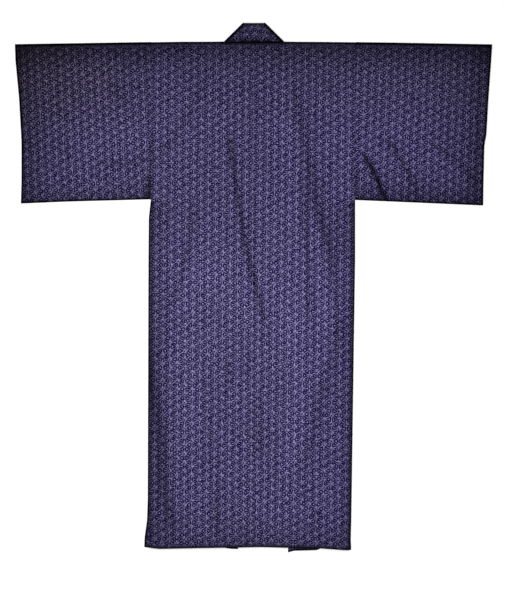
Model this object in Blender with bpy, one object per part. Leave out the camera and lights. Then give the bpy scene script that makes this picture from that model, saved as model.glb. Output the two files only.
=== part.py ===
"""Cotton yukata robe, laid flat on its front with the sleeves out to the sides.

Sizes are in millimetres and become metres when a mesh is made. X runs across the sleeves,
Y runs from the hem up to the collar, and Z is height above the surface that the robe lies on.
Every cloth is worked out as its middle surface and is then given its wall.
"""

import math
from collections import namedtuple

import bmesh
import bpy

MM = 0.001
WALL = 1.0
SEAM = 0.3
PITCH = WALL + SEAM
TURN = PITCH / 2
FLOOR_LEVEL = WALL / 2
SECOND_LEVEL = FLOOR_LEVEL + PITCH
THIRD_LEVEL = FLOOR_LEVEL + 2 * PITCH
CENTRE_X = -1.5
CENTRE_Y = 1.3

# The body panels.
SHOULDER_Y = 700.0
HEM_Y = -740.0
NECK_HALF = 85.0
NECK_EDGE_Y = 697.8
COLLAR_SEAM_Y = 699.4
FRONT_PANEL_WIDTH = 240.0
KENSAKI_Y = 470.0
FRONT_START_Y = 685.0
BACK_LEVEL = 5.5
LEAST_BACK_LEVEL = 4.45
SIDE_RISE = 22.0
SHOULDER_RISE = 34.0
FADE = 26.0

# The collar.
COLLAR_WIDTH = 55.0
COLLAR_END_Y = 20.0
COLLAR_TOP_Y = 754.6
COLLAR_TURN = PITCH
COLLAR_LOW = (FLOOR_LEVEL + SECOND_LEVEL) / 2
COLLAR_HIGH = COLLAR_LOW + 2 * COLLAR_TURN

# The sleeves.
MOUTH_BOTTOM_Y = 425.0
ARMHOLE_BOTTOM_Y = 318.0
SLEEVE_PUFF = 1.1

INDIGO = (0.038, 0.030, 0.098, 1.0)
INDIGO_SLEEVE = (0.032, 0.026, 0.082, 1.0)
INDIGO_COLLAR = (0.024, 0.020, 0.062, 1.0)

SideRow = namedtuple("SideRow", "y left right")
LineRow = namedtuple("LineRow", "x y")
FrontRow = namedtuple("FrontRow", "y sewn_width left_edge right_edge left_pleat right_pleat")
FoldRow = namedtuple("FoldRow", "place x0 y0 x1 y1 x2 y2 x3 y3 width depth bank")
StopRow = namedtuple("StopRow", "y steps")

BODY_SIDES = (
    SideRow(y=-741.0, left=-312.0, right=276.0),
    SideRow(y=-715.0, left=-311.0, right=274.5),
    SideRow(y=-660.0, left=-304.0, right=276.0),
    SideRow(y=-600.0, left=-302.0, right=277.0),
    SideRow(y=80.0, left=-300.0, right=287.0),
    SideRow(y=200.0, left=-299.0, right=287.0),
    SideRow(y=249.0, left=-293.5, right=287.0),
    SideRow(y=701.0, left=-291.5, right=289.5),
)

SLEEVE_ENDS = (
    SideRow(y=236.0, left=-663.0, right=651.0),
    SideRow(y=307.0, left=-661.0, right=652.0),
    SideRow(y=410.0, left=-661.0, right=654.5),
    SideRow(y=443.0, left=-662.0, right=660.0),
    SideRow(y=546.0, left=-668.0, right=666.0),
    SideRow(y=650.0, left=-678.0, right=673.5),
    SideRow(y=694.0, left=-679.5, right=676.5),
)

SHOULDER_LINE = (
    LineRow(x=-680.0, y=693.0),
    LineRow(x=-400.0, y=697.5),
    LineRow(x=-200.0, y=700.5),
    LineRow(x=0.0, y=701.0),
    LineRow(x=200.0, y=700.0),
    LineRow(x=400.0, y=697.5),
    LineRow(x=677.0, y=692.5),
)

SLEEVE_BOTTOMS = (
    LineRow(x=-664.0, y=240.0),
    LineRow(x=-535.0, y=245.5),
    LineRow(x=-293.0, y=252.0),
    LineRow(x=288.0, y=250.0),
    LineRow(x=500.0, y=241.0),
    LineRow(x=652.0, y=234.5),
)

BACK_HEM = (
    LineRow(x=-312.0, y=-736.0),
    LineRow(x=-270.0, y=-741.0),
    LineRow(x=-120.0, y=-738.0),
    LineRow(x=20.0, y=-736.0),
    LineRow(x=190.0, y=-739.5),
    LineRow(x=268.0, y=-745.5),
    LineRow(x=277.0, y=-743.5),
)

FRONT_HEM = (
    LineRow(x=-312.0, y=-733.0),
    LineRow(x=-100.0, y=-735.5),
    LineRow(x=-66.0, y=-741.5),
    LineRow(x=-45.0, y=-742.0),
    LineRow(x=96.0, y=-752.0),
    LineRow(x=114.0, y=-746.5),
    LineRow(x=178.0, y=-744.5),
    LineRow(x=192.0, y=-738.0),
    LineRow(x=277.0, y=-738.0),
)

# For each height: the sewn width from the side seam to the collar seam or the free edge, where
# that edge lies, and where the outer turn of the lengthwise pleat lies.
FRONTS = (
    FrontRow(y=-740.0, sewn_width=390.0, left_edge=45.5, right_edge=96.5,
             left_pleat=262.0, right_pleat=250.0),
    FrontRow(y=20.0, sewn_width=380.0, left_edge=84.0, right_edge=112.0,
             left_pleat=262.0, right_pleat=258.0),
    FrontRow(y=470.0, sewn_width=240.0, left_edge=84.5, right_edge=94.0,
             left_pleat=200.0, right_pleat=205.0),
    FrontRow(y=700.0, sewn_width=205.0, left_edge=85.0, right_edge=85.0,
             left_pleat=190.0, right_pleat=190.0),
)

# The largest folds of the upper cloth. Depth is the trough along the four points, and bank is the
# ridge beside it, on the left of the line for a minus sign.
FOLDS = (
    FoldRow("middle of the back", -69, 449, -40, 222, -12, 65, 31, -105, 15, 1.3, 2.4),
    FoldRow("long right fold", 113, 606, 170, 279, 233, -34, 145, -546, 17, 1.3, -2.2),
    FoldRow("right branch", 145, 392, 150, 180, 158, 40, 182, -148, 15, 0.8, 1.6),
    FoldRow("left armhole drag", -134, 620, -190, 480, -282, 378, -472, 378, 17, 0.9, 1.5),
    FoldRow("under the left arm", -179, 242, -182, 137, -205, 40, -248, -63, 16, 0.9, 1.6),
    FoldRow("right sleeve, inner", 307, 392, 330, 355, 352, 310, 369, 252, 13, 0.9, 2.6),
    FoldRow("right sleeve, middle", 358, 449, 395, 390, 430, 340, 472, 279, 16, 0.6, 1.6),
    FoldRow("right sleeve, outer", 500, 412, 545, 372, 585, 345, 620, 313, 18, 0.5, 1.3),
    FoldRow("lower left slope", -284, -176, -262, -404, -253, -461, -232, -731, 24, 0.4, -2.4),
    FoldRow("lower ripple, left", -118, -233, -122, -330, -118, -440, -108, -688, 15, 1.2, 1.8),
    FoldRow("lower ripple, middle", -63, -233, -62, -320, -64, -400, -62, -489, 15, 1.2, 1.5),
    FoldRow("lower ripple, right", 11, -233, 10, -330, 12, -420, 14, -517, 16, 1.1, 1.8),
    FoldRow("under the collar", -60, 591, -20, 565, 22, 535, 59, 492, 18, 0.7, 1.0),
    FoldRow("right shoulder", 182, 577, 205, 562, 225, 548, 244, 534, 18, 0.6, 1.0),
    FoldRow("left sleeve, outer", -575, 534, -550, 520, -520, 505, -495, 492, 20, 0.4, 1.1),
    FoldRow("left sleeve, inner", -404, 591, -380, 575, -360, 560, -339, 549, 18, 0.5, 1.2),
)

# The rows of each mesh: evenly spaced from the row before, in so many steps, up to each stop.
BACK_STOPS = (
    StopRow(y=690.0, steps=1),
    StopRow(y=664.0, steps=2),
    StopRow(y=640.0, steps=1),
    StopRow(y=293.0, steps=12),
    StopRow(y=249.0, steps=2),
    StopRow(y=236.0, steps=1),
    StopRow(y=80.0, steps=5),
    StopRow(y=-80.0, steps=5),
    StopRow(y=-318.0, steps=7),
    StopRow(y=-675.0, steps=10),
    StopRow(y=HEM_Y, steps=3),
)
FRONT_STOPS = (
    StopRow(y=635.0, steps=2),
    StopRow(y=500.0, steps=4),
    StopRow(y=KENSAKI_Y, steps=1),
    StopRow(y=455.0, steps=1),
    StopRow(y=MOUTH_BOTTOM_Y, steps=1),
    StopRow(y=285.0, steps=3),
    StopRow(y=249.0, steps=1),
    StopRow(y=220.0, steps=1),
    StopRow(y=21.0, steps=3),
    StopRow(y=-530.0, steps=5),
    StopRow(y=-700.0, steps=2),
    StopRow(y=HEM_Y, steps=2),
)
NECK_COLUMNS = (0.0, 0.26, 0.50, 0.75, 1.0)
SHOULDER_COLUMNS = (0.0, 0.07, 0.15, 0.23, 0.31, 0.39, 0.47, 0.55, 0.63, 0.71, 0.79, 0.86, 1.0)
SIDE_STEPS = (22.0, 14.0, 7.0, 0.0)
TURN_STEPS = 4


def row_heights(start, stops):
    """The heights of a mesh's rows, from the first one down through its stops."""
    heights = [start]
    for stop in stops:
        first = heights[-1]
        heights.extend(first + (stop.y - first) * step / stop.steps for step in range(1, stop.steps + 1))
    return heights


def smooth(value):
    """A soft step from 0 to 1 as value goes from 0 to 1."""
    value = min(max(value, 0.0), 1.0)
    return value * value * (3.0 - 2.0 * value)


def mix(start, end, part):
    """The number that lies the given part of the way from start to end."""
    return start + (end - start) * part


def read(table, key, column, value):
    """Reads a column of a table at a value of its key column, straight between its rows."""
    if value <= getattr(table[0], key):
        return getattr(table[0], column)
    for low, high in zip(table, table[1:]):
        if value <= getattr(high, key):
            part = (value - getattr(low, key)) / (getattr(high, key) - getattr(low, key))
            return mix(getattr(low, column), getattr(high, column), part)
    return getattr(table[-1], column)


def side_name(x):
    """The name of the side that a place across the robe is on."""
    return "left" if x < 0 else "right"


def body_half(x_sign, y):
    """How far the body's side seam lies from the middle at a height."""
    return abs(read(BODY_SIDES, "y", side_name(x_sign), y))


def trimmed(x, y, hem):
    """Moves a plain height onto the real shoulder line and the real hem."""
    shoulder = read(SHOULDER_LINE, "x", "y", x) - SHOULDER_Y
    at_hem = read(hem, "x", "y", x) - HEM_Y
    return y + shoulder * smooth((y - 560.0) / 120.0) + at_hem * smooth((-620.0 - y) / 120.0)


def fold_height(fold, x, y):
    """The height that one fold adds at a place: a trough along its line and a ridge beside it."""
    places = ((fold.x0, fold.y0), (fold.x1, fold.y1), (fold.x2, fold.y2), (fold.x3, fold.y3))
    nearest = None
    for index in range(3):
        (ax, ay), (bx, by) = places[index], places[index + 1]
        run_x, run_y = bx - ax, by - ay
        length = math.hypot(run_x, run_y)
        part = ((x - ax) * run_x + (y - ay) * run_y) / length ** 2
        held = min(max(part, 0.0), 1.0)
        away = math.hypot(x - ax - run_x * held, y - ay - run_y * held)
        if nearest is None or away < nearest[0]:
            turn = (x - ax) * run_y - (y - ay) * run_x
            nearest = (away, math.copysign(1.0, turn), (index + part) / 3.0)
    away, hand, place = nearest
    if away > 5.0 * fold.width:
        return 0.0
    taper = smooth(min(place + 0.12, 1.12 - place) / 0.3)
    trough = fold.depth * math.exp(-((away / fold.width) ** 2))
    beside = away * hand * math.copysign(1.0, fold.bank) - 1.7 * fold.width
    ridge = abs(fold.bank) * math.exp(-((beside / (1.35 * fold.width)) ** 2))
    return (ridge - trough) * taper


def fold_heights(x, y):
    """The height that all the folds add at a place."""
    return sum(fold_height(fold, x, y) for fold in FOLDS)


def upper_level(x, y):
    """The height of the middle of the upper cloth, over the body and over the sleeves."""
    across = abs(x)
    half = body_half(x, y)
    below_shoulder = read(SHOULDER_LINE, "x", "y", x) - y
    folds = fold_heights(x, y)
    if across > half:
        end = abs(read(SLEEVE_ENDS, "y", side_name(x), y))
        bottom = read(SLEEVE_BOTTOMS, "x", "y", x)
        near = min(below_shoulder, y - bottom, end - across)
        puff = SLEEVE_PUFF * smooth(near / 60.0) * smooth((across - half) / 60.0)
        shown = smooth(near / FADE) * smooth((across - half) / FADE)
        return max(SECOND_LEVEL, SECOND_LEVEL + puff + folds * shown)
    inward = smooth((half - across) / SIDE_RISE)
    under = smooth(below_shoulder / SHOULDER_RISE)
    level = mix(SECOND_LEVEL, BACK_LEVEL, inward * under)
    left_edge = -read(FRONTS, "y", "left_edge", y)
    right_edge = read(FRONTS, "y", "right_edge", y)
    inside = min(x - left_edge, right_edge - x)
    sag = 1.3 * smooth(inside / 55.0) * smooth((520.0 - y) / 300.0)
    shown = smooth((half - across) / FADE) * smooth(below_shoulder / (2.0 * FADE))
    level = level - sag + folds * shown
    floor = mix(SECOND_LEVEL, LEAST_BACK_LEVEL, inward * under)
    if inside > 30.0:
        floor = SECOND_LEVEL
    level = max(level, floor)
    at_neck = smooth((118.0 - across) / 30.0) * smooth((y - 640.0) / 45.0)
    return mix(level, COLLAR_HIGH, at_neck)


class Cloth:
    """The middle surface of one cloth, as points and the faces between them."""

    def __init__(self):
        self.points = []
        self.faces = []

    def row(self, points):
        """Adds a row of points and gives their numbers."""
        start = len(self.points)
        self.points.extend(points)
        return list(range(start, len(self.points)))

    def join(self, first, second):
        """Fills the strip between two rows of equal length."""
        for a, b, c, d in zip(first, first[1:], second[1:], second):
            self.faces.append((a, b, c, d))

    def join_uneven(self, first, first_places, second, second_places):
        """Fills the strip between two rows of different lengths with triangles."""
        i = j = 0
        while i < len(first) - 1 or j < len(second) - 1:
            first_next = first_places[i + 1] if i < len(first) - 1 else math.inf
            second_next = second_places[j + 1] if j < len(second) - 1 else math.inf
            if first_next <= second_next:
                self.faces.append((first[i], first[i + 1], second[j]))
                i += 1
            else:
                self.faces.append((first[i], second[j + 1], second[j]))
                j += 1

    def build(self, name, colour):
        """Makes the object: the middle surface in metres, its wall and its material."""
        mesh = bpy.data.meshes.new(name)
        placed = [((x - CENTRE_X) * MM, (y - CENTRE_Y) * MM, z * MM) for x, y, z in self.points]
        mesh.from_pydata(placed, [], self.faces)
        surface = bmesh.new()
        surface.from_mesh(mesh)
        bmesh.ops.recalc_face_normals(surface, faces=surface.faces)
        surface.to_mesh(mesh)
        surface.free()
        mesh.update()
        body = bpy.data.objects.new(name, mesh)
        bpy.context.scene.collection.objects.link(body)
        wall = body.modifiers.new("wall", "SOLIDIFY")
        wall.thickness = WALL * MM
        wall.offset = 0.0
        wall.use_rim = True
        material = bpy.data.materials.new(name)
        material.use_nodes = True
        shader = material.node_tree.nodes["Principled BSDF"]
        shader.inputs["Base Color"].default_value = colour
        shader.inputs["Roughness"].default_value = 0.9
        shader.inputs["Metallic"].default_value = 0.0
        mesh.materials.append(material)
        return body


def front_sizes(sign, y):
    """Where a front panel's edges and its pleat lie at a height, as distances from the middle."""
    side = side_name(sign)
    half = body_half(sign, y)
    sewn = read(FRONTS, "y", "sewn_width", y)
    edge = read(FRONTS, "y", side + "_edge", y)
    outer = read(FRONTS, "y", side + "_pleat", y)
    depth = max((sewn - (half - edge)) / 2.0, 2.0 * TURN + 0.4)
    inner = outer - depth
    hidden = half - outer + 2.0 * depth
    seam = max(outer - (FRONT_PANEL_WIDTH - hidden), edge)
    return half, inner, outer, edge, seam


def over_pleat(x, inner):
    """The height of the cloth that lies over the pleat and comes down to the surface beyond it."""
    return mix(FLOOR_LEVEL, THIRD_LEVEL, smooth((x - (inner - 44.0)) / 32.0))


def front_row(sign, y):
    """One row of a front panel, from its side seam round the pleat to its inner edge."""
    half, inner, outer, edge, seam = front_sizes(sign, y)
    end = seam + SEAM / 2 if y < KENSAKI_Y else edge + SEAM
    row = []
    for step in range(4):
        row.append((mix(half, inner + TURN, step / 4.0), FLOOR_LEVEL))
    for step in range(TURN_STEPS):
        angle = math.pi * step / TURN_STEPS
        row.append((inner + TURN - TURN * math.sin(angle), SECOND_LEVEL - TURN - TURN * math.cos(angle)))
    for step in range(2):
        row.append((mix(inner + TURN, outer - TURN, step / 2.0), SECOND_LEVEL))
    for step in range(TURN_STEPS):
        angle = math.pi * step / TURN_STEPS
        row.append((outer - TURN + TURN * math.sin(angle), THIRD_LEVEL - TURN - TURN * math.cos(angle)))
    for step in range(6):
        x = mix(outer - TURN, end, step / 5.0)
        row.append((x, over_pleat(x, inner)))
    folded = smooth((650.0 - y) / 130.0)
    lengths = [0.0]
    for (x0, z0), (x1, z1) in zip(row, row[1:]):
        lengths.append(lengths[-1] + math.hypot(x1 - x0, z1 - z0))
    laid = []
    for (x, z), length in zip(row, lengths):
        plain = mix(half, end, length / lengths[-1])
        x, z = mix(plain, x, folded), mix(FLOOR_LEVEL, z, folded)
        laid.append((sign * x, trimmed(sign * x, y, FRONT_HEM), z))
    return laid, [length / lengths[-1] for length in lengths]


def body_panel(sign):
    """One body panel: the back, the turn over the shoulder, and the front with its pleat."""
    cloth = Cloth()
    previous = None
    for y in row_heights(NECK_EDGE_Y, BACK_STOPS):
        half = body_half(sign, y)
        across = [mix(SEAM / 2, NECK_HALF, part) for part in NECK_COLUMNS[:-1]]
        across += [mix(NECK_HALF, half - SIDE_STEPS[0], part) for part in SHOULDER_COLUMNS]
        across += [half - step for step in SIDE_STEPS[1:]]
        points = []
        for x in across:
            height = trimmed(sign * x, y, BACK_HEM)
            points.append((sign * x, height, upper_level(sign * x, height)))
        row = cloth.row(points)
        if previous is None:
            top_row = row
            top_across = across
        else:
            cloth.join(row, previous)
        previous = row
    first = len(NECK_COLUMNS) - 1
    columns = top_across[first:]
    previous = top_row[first:]
    low_row = previous
    for step in range(1, TURN_STEPS + 1):
        angle = math.pi * step / TURN_STEPS
        points = []
        for x, number in zip(columns, low_row):
            _, y, z = cloth.points[number]
            turn = (z - FLOOR_LEVEL) / 2.0
            reach = read(SHOULDER_LINE, "x", "y", sign * x) - WALL / 2 - y
            points.append((sign * x, y + reach * math.sin(angle), z - turn * (1 - math.cos(angle))))
        row = cloth.row(points)
        cloth.join(previous, row)
        previous = row
    half = body_half(sign, SHOULDER_Y)
    places = [(half - x) / (half - NECK_HALF) for x in reversed(columns)]
    places[0], places[-1] = 0.0, 1.0
    upper = list(reversed(previous))
    upper_places = places
    for y in row_heights(FRONT_START_Y, FRONT_STOPS):
        points, row_places = front_row(sign, y)
        row = cloth.row(points)
        if upper_places is places:
            cloth.join_uneven(upper, upper_places, row, row_places)
        else:
            cloth.join(upper, row)
        upper, upper_places = row, row_places
    return cloth


def overlap_panel(sign):
    """One overlap panel, from its seam on the front panel to the collar seam or its free edge."""
    cloth = Cloth()
    previous = None
    for y in [y for y in row_heights(FRONT_START_Y, FRONT_STOPS) if y < KENSAKI_Y]:
        half, inner, outer, edge, seam = front_sizes(sign, y)
        end = edge + SEAM if y > COLLAR_END_Y else edge
        points = []
        for step in range(9):
            x = mix(seam - SEAM / 2, end, step / 8.0)
            points.append((sign * x, trimmed(sign * x, y, FRONT_HEM), over_pleat(x, inner)))
        row = cloth.row(points)
        if previous is not None:
            cloth.join(previous, row)
        previous = row
    return cloth


def sleeve(sign):
    """One sleeve: upper and lower cloth, closed at the top, the bottom and part of both ends."""
    cloth = Cloth()
    columns = [step / 15.0 for step in range(16)]
    rows = [0.0, 0.02, 0.07, 0.14, 0.22, 0.30, 0.38, 0.46, 0.54, 0.62, 0.70, 0.79, 0.87, 0.94, 0.98, 1.0]

    def place(column, part):
        guess = mix(SHOULDER_Y - 4.0, 245.0, part)
        inner = body_half(sign, max(guess, 250.0)) + SEAM
        outer = abs(read(SLEEVE_ENDS, "y", side_name(sign), guess))
        if guess < ARMHOLE_BOTTOM_Y:
            inner += TURN + WALL / 2
        if guess < MOUTH_BOTTOM_Y:
            outer -= TURN + WALL / 2
        x = sign * mix(inner, outer, column)
        inset = TURN + WALL / 2
        top = read(SHOULDER_LINE, "x", "y", x) - inset
        bottom = read(SLEEVE_BOTTOMS, "x", "y", x) + inset
        return x, mix(top, bottom, part), guess

    upper, lower = [], []
    for part in rows:
        high, low = [], []
        for column in columns:
            x, y, _ = place(column, part)
            edge = part in (0.0, 1.0) or column in (0.0, 1.0)
            high.append((x, y, SECOND_LEVEL if edge else upper_level(x, y)))
            low.append((x, y, FLOOR_LEVEL))
        upper.append(cloth.row(high))
        lower.append(cloth.row(low))
    for first, second in zip(upper, upper[1:]):
        cloth.join(first, second)
    for first, second in zip(lower, lower[1:]):
        cloth.join(second, first)

    def turn(number, dx, dy):
        x, y, _ = cloth.points[number]
        points = []
        for step in range(1, TURN_STEPS):
            angle = math.pi * step / TURN_STEPS
            out = TURN * math.sin(angle)
            points.append((x + dx * out, y + dy * out, SECOND_LEVEL - TURN + TURN * math.cos(angle)))
        return cloth.row(points)

    def close(high_edge, low_edge, arcs, flip):
        for index in range(len(high_edge) - 1):
            first = [high_edge[index]] + arcs[index] + [low_edge[index]]
            second = [high_edge[index + 1]] + arcs[index + 1] + [low_edge[index + 1]]
            if flip:
                first, second = second, first
            cloth.join(first, second)

    diagonal = math.sqrt(0.5)
    top_arcs = [turn(number, 0.0, 1.0) for number in upper[0]]
    close(upper[0], lower[0], top_arcs, True)
    bottom_arcs = [turn(number, 0.0, -1.0) for number in upper[-1][1:-1]]
    armhole_corner = turn(upper[-1][0], -sign * diagonal, -diagonal)
    cuff_corner = turn(upper[-1][-1], sign * diagonal, -diagonal)
    bottom_arcs = [armhole_corner] + bottom_arcs + [cuff_corner]
    close(upper[-1], lower[-1], bottom_arcs, False)
    for column, limit, corner in ((0, ARMHOLE_BOTTOM_Y, armhole_corner), (-1, MOUTH_BOTTOM_Y, cuff_corner)):
        shut = [index for index, part in enumerate(rows) if place(0.0, part)[2] < limit]
        out = sign if column else -sign
        arcs = [turn(upper[index][column], out, 0.0) for index in shut[:-1]] + [corner]
        high_edge = [upper[index][column] for index in shut]
        low_edge = [lower[index][column] for index in shut]
        close(high_edge, low_edge, arcs, column == 0)
    return cloth


def collar():
    """The collar: a band folded lengthwise, down each front and turned over at both neck corners."""
    cloth = Cloth()
    stations = []
    rise = COLLAR_TOP_Y - COLLAR_SEAM_Y - 3.0
    arm_heights = (21.0, 90.0, 155.0, 220.0, 280.0, 335.0, 385.0, 425.0, 470.0, 535.0, 605.0, 650.0)

    def arm(sign):
        found = []
        for y in arm_heights:
            seam = read(FRONTS, "y", side_name(sign) + "_edge", y)
            lean = smooth((y - 600.0) / 130.0) * rise
            found.append(((sign * seam, y), (sign * (seam - COLLAR_WIDTH), y + lean), COLLAR_LOW))
        return found

    def corner(sign):
        seam = (sign * (NECK_HALF - 1.9), COLLAR_SEAM_Y)
        free = (sign * (NECK_HALF - COLLAR_WIDTH - 1.0), COLLAR_TOP_Y - 2.0)
        run_x, run_y = free[0] - seam[0], free[1] - seam[1]
        length = math.hypot(run_x, run_y)
        out = (sign * abs(run_y) / length, abs(run_x) / length)
        return seam, free, out

    for sign in (-1, 1):
        part = []
        for seam, free, level in arm(sign):
            part.append((seam, free, level, (0.0, 0.0, 1.0)))
        seam, free, out = corner(sign)
        for step in range(TURN_STEPS + 1):
            angle = math.pi * step / TURN_STEPS
            reach = COLLAR_TURN * math.sin(angle)
            shifted = [(x + out[0] * reach, y + out[1] * reach) for x, y in (seam, free)]
            level = COLLAR_LOW + COLLAR_TURN * (1 - math.cos(angle))
            normal = (-out[0] * math.sin(angle), -out[1] * math.sin(angle), math.cos(angle))
            part.append((shifted[0], shifted[1], level, normal))
        if sign < 0:
            stations = part
            left_seam, left_free, _ = corner(-1)
            right_seam, right_free, _ = corner(1)
            for step in range(1, 8):
                share = step / 8.0
                seam = (mix(left_seam[0], right_seam[0], share), left_seam[1])
                free = (mix(left_free[0], right_free[0], share), left_free[1])
                stations.append((seam, free, COLLAR_HIGH, (0.0, 0.0, -1.0)))
        else:
            stations += list(reversed(part))

    previous = None
    for seam, free, level, normal in stations:
        run = (free[0] - seam[0], free[1] - seam[1])
        length = math.hypot(*run)
        along = (run[0] / length, run[1] / length)
        flat = length - TURN - WALL / 2
        places = [(flat * step / 4.0, -TURN) for step in range(5)]
        for step in range(1, TURN_STEPS):
            angle = math.pi * step / TURN_STEPS
            places.append((flat + TURN * math.sin(angle), -TURN * math.cos(angle)))
        places += [(flat * step / 4.0, TURN) for step in range(4, -1, -1)]
        points = []
        for run_out, height in places:
            x = seam[0] + along[0] * run_out + normal[0] * height
            y = seam[1] + along[1] * run_out + normal[1] * height
            points.append((x, y, level + normal[2] * height))
        row = cloth.row(points)
        if previous is not None:
            cloth.join(previous, row)
        previous = row
    return cloth


def main():
    """Clears the scene and builds the seven pieces of the robe."""
    for item in list(bpy.data.objects):
        bpy.data.objects.remove(item, do_unlink=True)
    body_panel(-1).build("body_left", INDIGO)
    body_panel(1).build("body_right", INDIGO)
    overlap_panel(-1).build("okumi_left", INDIGO)
    overlap_panel(1).build("okumi_right", INDIGO)
    sleeve(-1).build("sleeve_left", INDIGO_SLEEVE)
    sleeve(1).build("sleeve_right", INDIGO_SLEEVE)
    collar().build("collar", INDIGO_COLLAR)


main()
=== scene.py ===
"""The looks of a cotton yukata robe, laid flat on its front with the sleeves out to the sides.

Sizes are in millimetres until a mesh is made. X runs across the sleeves, Y from the hem up to
the collar, and Z is height above the floor. Each cloth is worked out as its middle surface, with
its own creases, and is then given a thin wall.
"""

import logging
import math
from collections import namedtuple
from dataclasses import dataclass
from enum import Enum
from typing import Dict, List, Optional, Sequence, Tuple

import bpy
import numpy as np
from mathutils import Matrix


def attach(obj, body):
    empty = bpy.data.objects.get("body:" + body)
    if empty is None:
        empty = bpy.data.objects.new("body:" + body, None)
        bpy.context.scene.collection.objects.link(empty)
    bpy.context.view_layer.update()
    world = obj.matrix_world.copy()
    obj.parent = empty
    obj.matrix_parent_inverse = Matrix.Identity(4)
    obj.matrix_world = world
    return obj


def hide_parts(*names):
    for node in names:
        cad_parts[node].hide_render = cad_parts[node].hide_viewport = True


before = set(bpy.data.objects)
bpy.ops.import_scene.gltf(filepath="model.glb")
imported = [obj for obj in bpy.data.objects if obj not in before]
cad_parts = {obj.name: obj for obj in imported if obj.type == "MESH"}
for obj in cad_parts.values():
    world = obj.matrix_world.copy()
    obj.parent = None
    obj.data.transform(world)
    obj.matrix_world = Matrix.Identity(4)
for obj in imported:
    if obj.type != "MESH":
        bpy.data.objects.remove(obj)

LOG = logging.getLogger("yukata")
MM = 0.001
CENTRE_X = -1.5
CENTRE_Y = 1.3
FAR = 1e3
UPWARD = (0.0, 0.0, 1.0)
DOWNWARD = (0.0, 0.0, -1.0)

Row = List[int]
Array = np.ndarray
Pair = Tuple[Array, Array]
Point = Tuple[float, float]
Spot = Tuple[float, float, float]
Colour = Tuple[float, float, float, float]
Ramp = Tuple[float, float, float, float]
Station = Tuple[Point, Point, float, Spot]
Socket = bpy.types.NodeSocket
Material = bpy.types.Material
Piece = bpy.types.Object
SideRow = namedtuple("SideRow", "y left right")
LineRow = namedtuple("LineRow", "x y")
FrontRow = namedtuple("FrontRow", "y sewn_width left_edge right_edge left_pleat right_pleat")


class Side(Enum):
    """The wearer's side, with its sign along X."""

    LEFT = -1
    RIGHT = 1


class Ply(Enum):
    """Which cloth of a laid panel a surface is: the one that shows, or the one on the floor."""

    UPPER = "upper"
    LOWER = "lower"


BODY_SIDES = (
    SideRow(y=-741.0, left=-312.0, right=276.0),
    SideRow(y=-715.0, left=-311.0, right=274.5),
    SideRow(y=-660.0, left=-304.0, right=276.0),
    SideRow(y=-600.0, left=-302.0, right=277.0),
    SideRow(y=80.0, left=-300.0, right=287.0),
    SideRow(y=200.0, left=-299.0, right=287.0),
    SideRow(y=249.0, left=-293.5, right=287.0),
    SideRow(y=701.0, left=-291.5, right=289.5),
)
SLEEVE_ENDS = (
    SideRow(y=236.0, left=-663.0, right=651.0),
    SideRow(y=307.0, left=-661.0, right=652.0),
    SideRow(y=410.0, left=-661.0, right=654.5),
    SideRow(y=443.0, left=-662.0, right=660.0),
    SideRow(y=546.0, left=-668.0, right=666.0),
    SideRow(y=650.0, left=-678.0, right=673.5),
    SideRow(y=694.0, left=-679.5, right=676.5),
)
SHOULDER_LINE = (
    LineRow(x=-680.0, y=693.0),
    LineRow(x=-400.0, y=697.5),
    LineRow(x=-200.0, y=700.5),
    LineRow(x=0.0, y=701.0),
    LineRow(x=200.0, y=700.0),
    LineRow(x=400.0, y=697.5),
    LineRow(x=677.0, y=692.5),
)
SLEEVE_BOTTOMS = (
    LineRow(x=-664.0, y=240.0),
    LineRow(x=-535.0, y=245.5),
    LineRow(x=-293.0, y=252.0),
    LineRow(x=288.0, y=250.0),
    LineRow(x=500.0, y=241.0),
    LineRow(x=652.0, y=234.5),
)
BACK_HEM = (
    LineRow(x=-312.0, y=-736.0),
    LineRow(x=-270.0, y=-741.0),
    LineRow(x=-120.0, y=-738.0),
    LineRow(x=20.0, y=-736.0),
    LineRow(x=190.0, y=-739.5),
    LineRow(x=268.0, y=-745.5),
    LineRow(x=277.0, y=-743.5),
)
FRONT_HEM = (
    LineRow(x=-312.0, y=-733.0),
    LineRow(x=-100.0, y=-735.5),
    LineRow(x=-66.0, y=-741.5),
    LineRow(x=-45.0, y=-742.0),
    LineRow(x=96.0, y=-752.0),
    LineRow(x=114.0, y=-746.5),
    LineRow(x=178.0, y=-744.5),
    LineRow(x=192.0, y=-738.0),
    LineRow(x=277.0, y=-738.0),
)
FRONTS = (
    FrontRow(y=-740.0, sewn_width=390.0, left_edge=45.5, right_edge=96.5,
             left_pleat=262.0, right_pleat=250.0),
    FrontRow(y=20.0, sewn_width=380.0, left_edge=84.0, right_edge=112.0,
             left_pleat=262.0, right_pleat=258.0),
    FrontRow(y=470.0, sewn_width=240.0, left_edge=84.5, right_edge=94.0,
             left_pleat=200.0, right_pleat=205.0),
    FrontRow(y=700.0, sewn_width=205.0, left_edge=85.0, right_edge=85.0,
             left_pleat=190.0, right_pleat=190.0),
)

# Painted light along the robe: the share of full colour at each height, brightest at the middle of the body
# where the light falls strongest.
LevelRow = namedtuple("LevelRow", "y level")
LIGHT_LEVELS = (
    LevelRow(y=-745.0, level=0.84),
    LevelRow(y=-150.0, level=0.93),
    LevelRow(y=0.0, level=1.0),
    LevelRow(y=40.0, level=1.0),
    LevelRow(y=165.0, level=0.87),
    LevelRow(y=364.0, level=0.80),
    LevelRow(y=700.0, level=0.79),
)


def smooth(value: Array) -> Array:
    """A soft step from 0 to 1 as the value goes from 0 to 1."""
    held = np.clip(value, 0.0, 1.0)
    return held * held * (3.0 - 2.0 * held)


def read(table: Sequence, key: str, column: str, values: Array) -> Array:
    """Reads a column of a table, looked up by its rising key, straight between its rows."""
    return np.interp(values, [getattr(r, key) for r in table], [getattr(r, column) for r in table])


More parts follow.
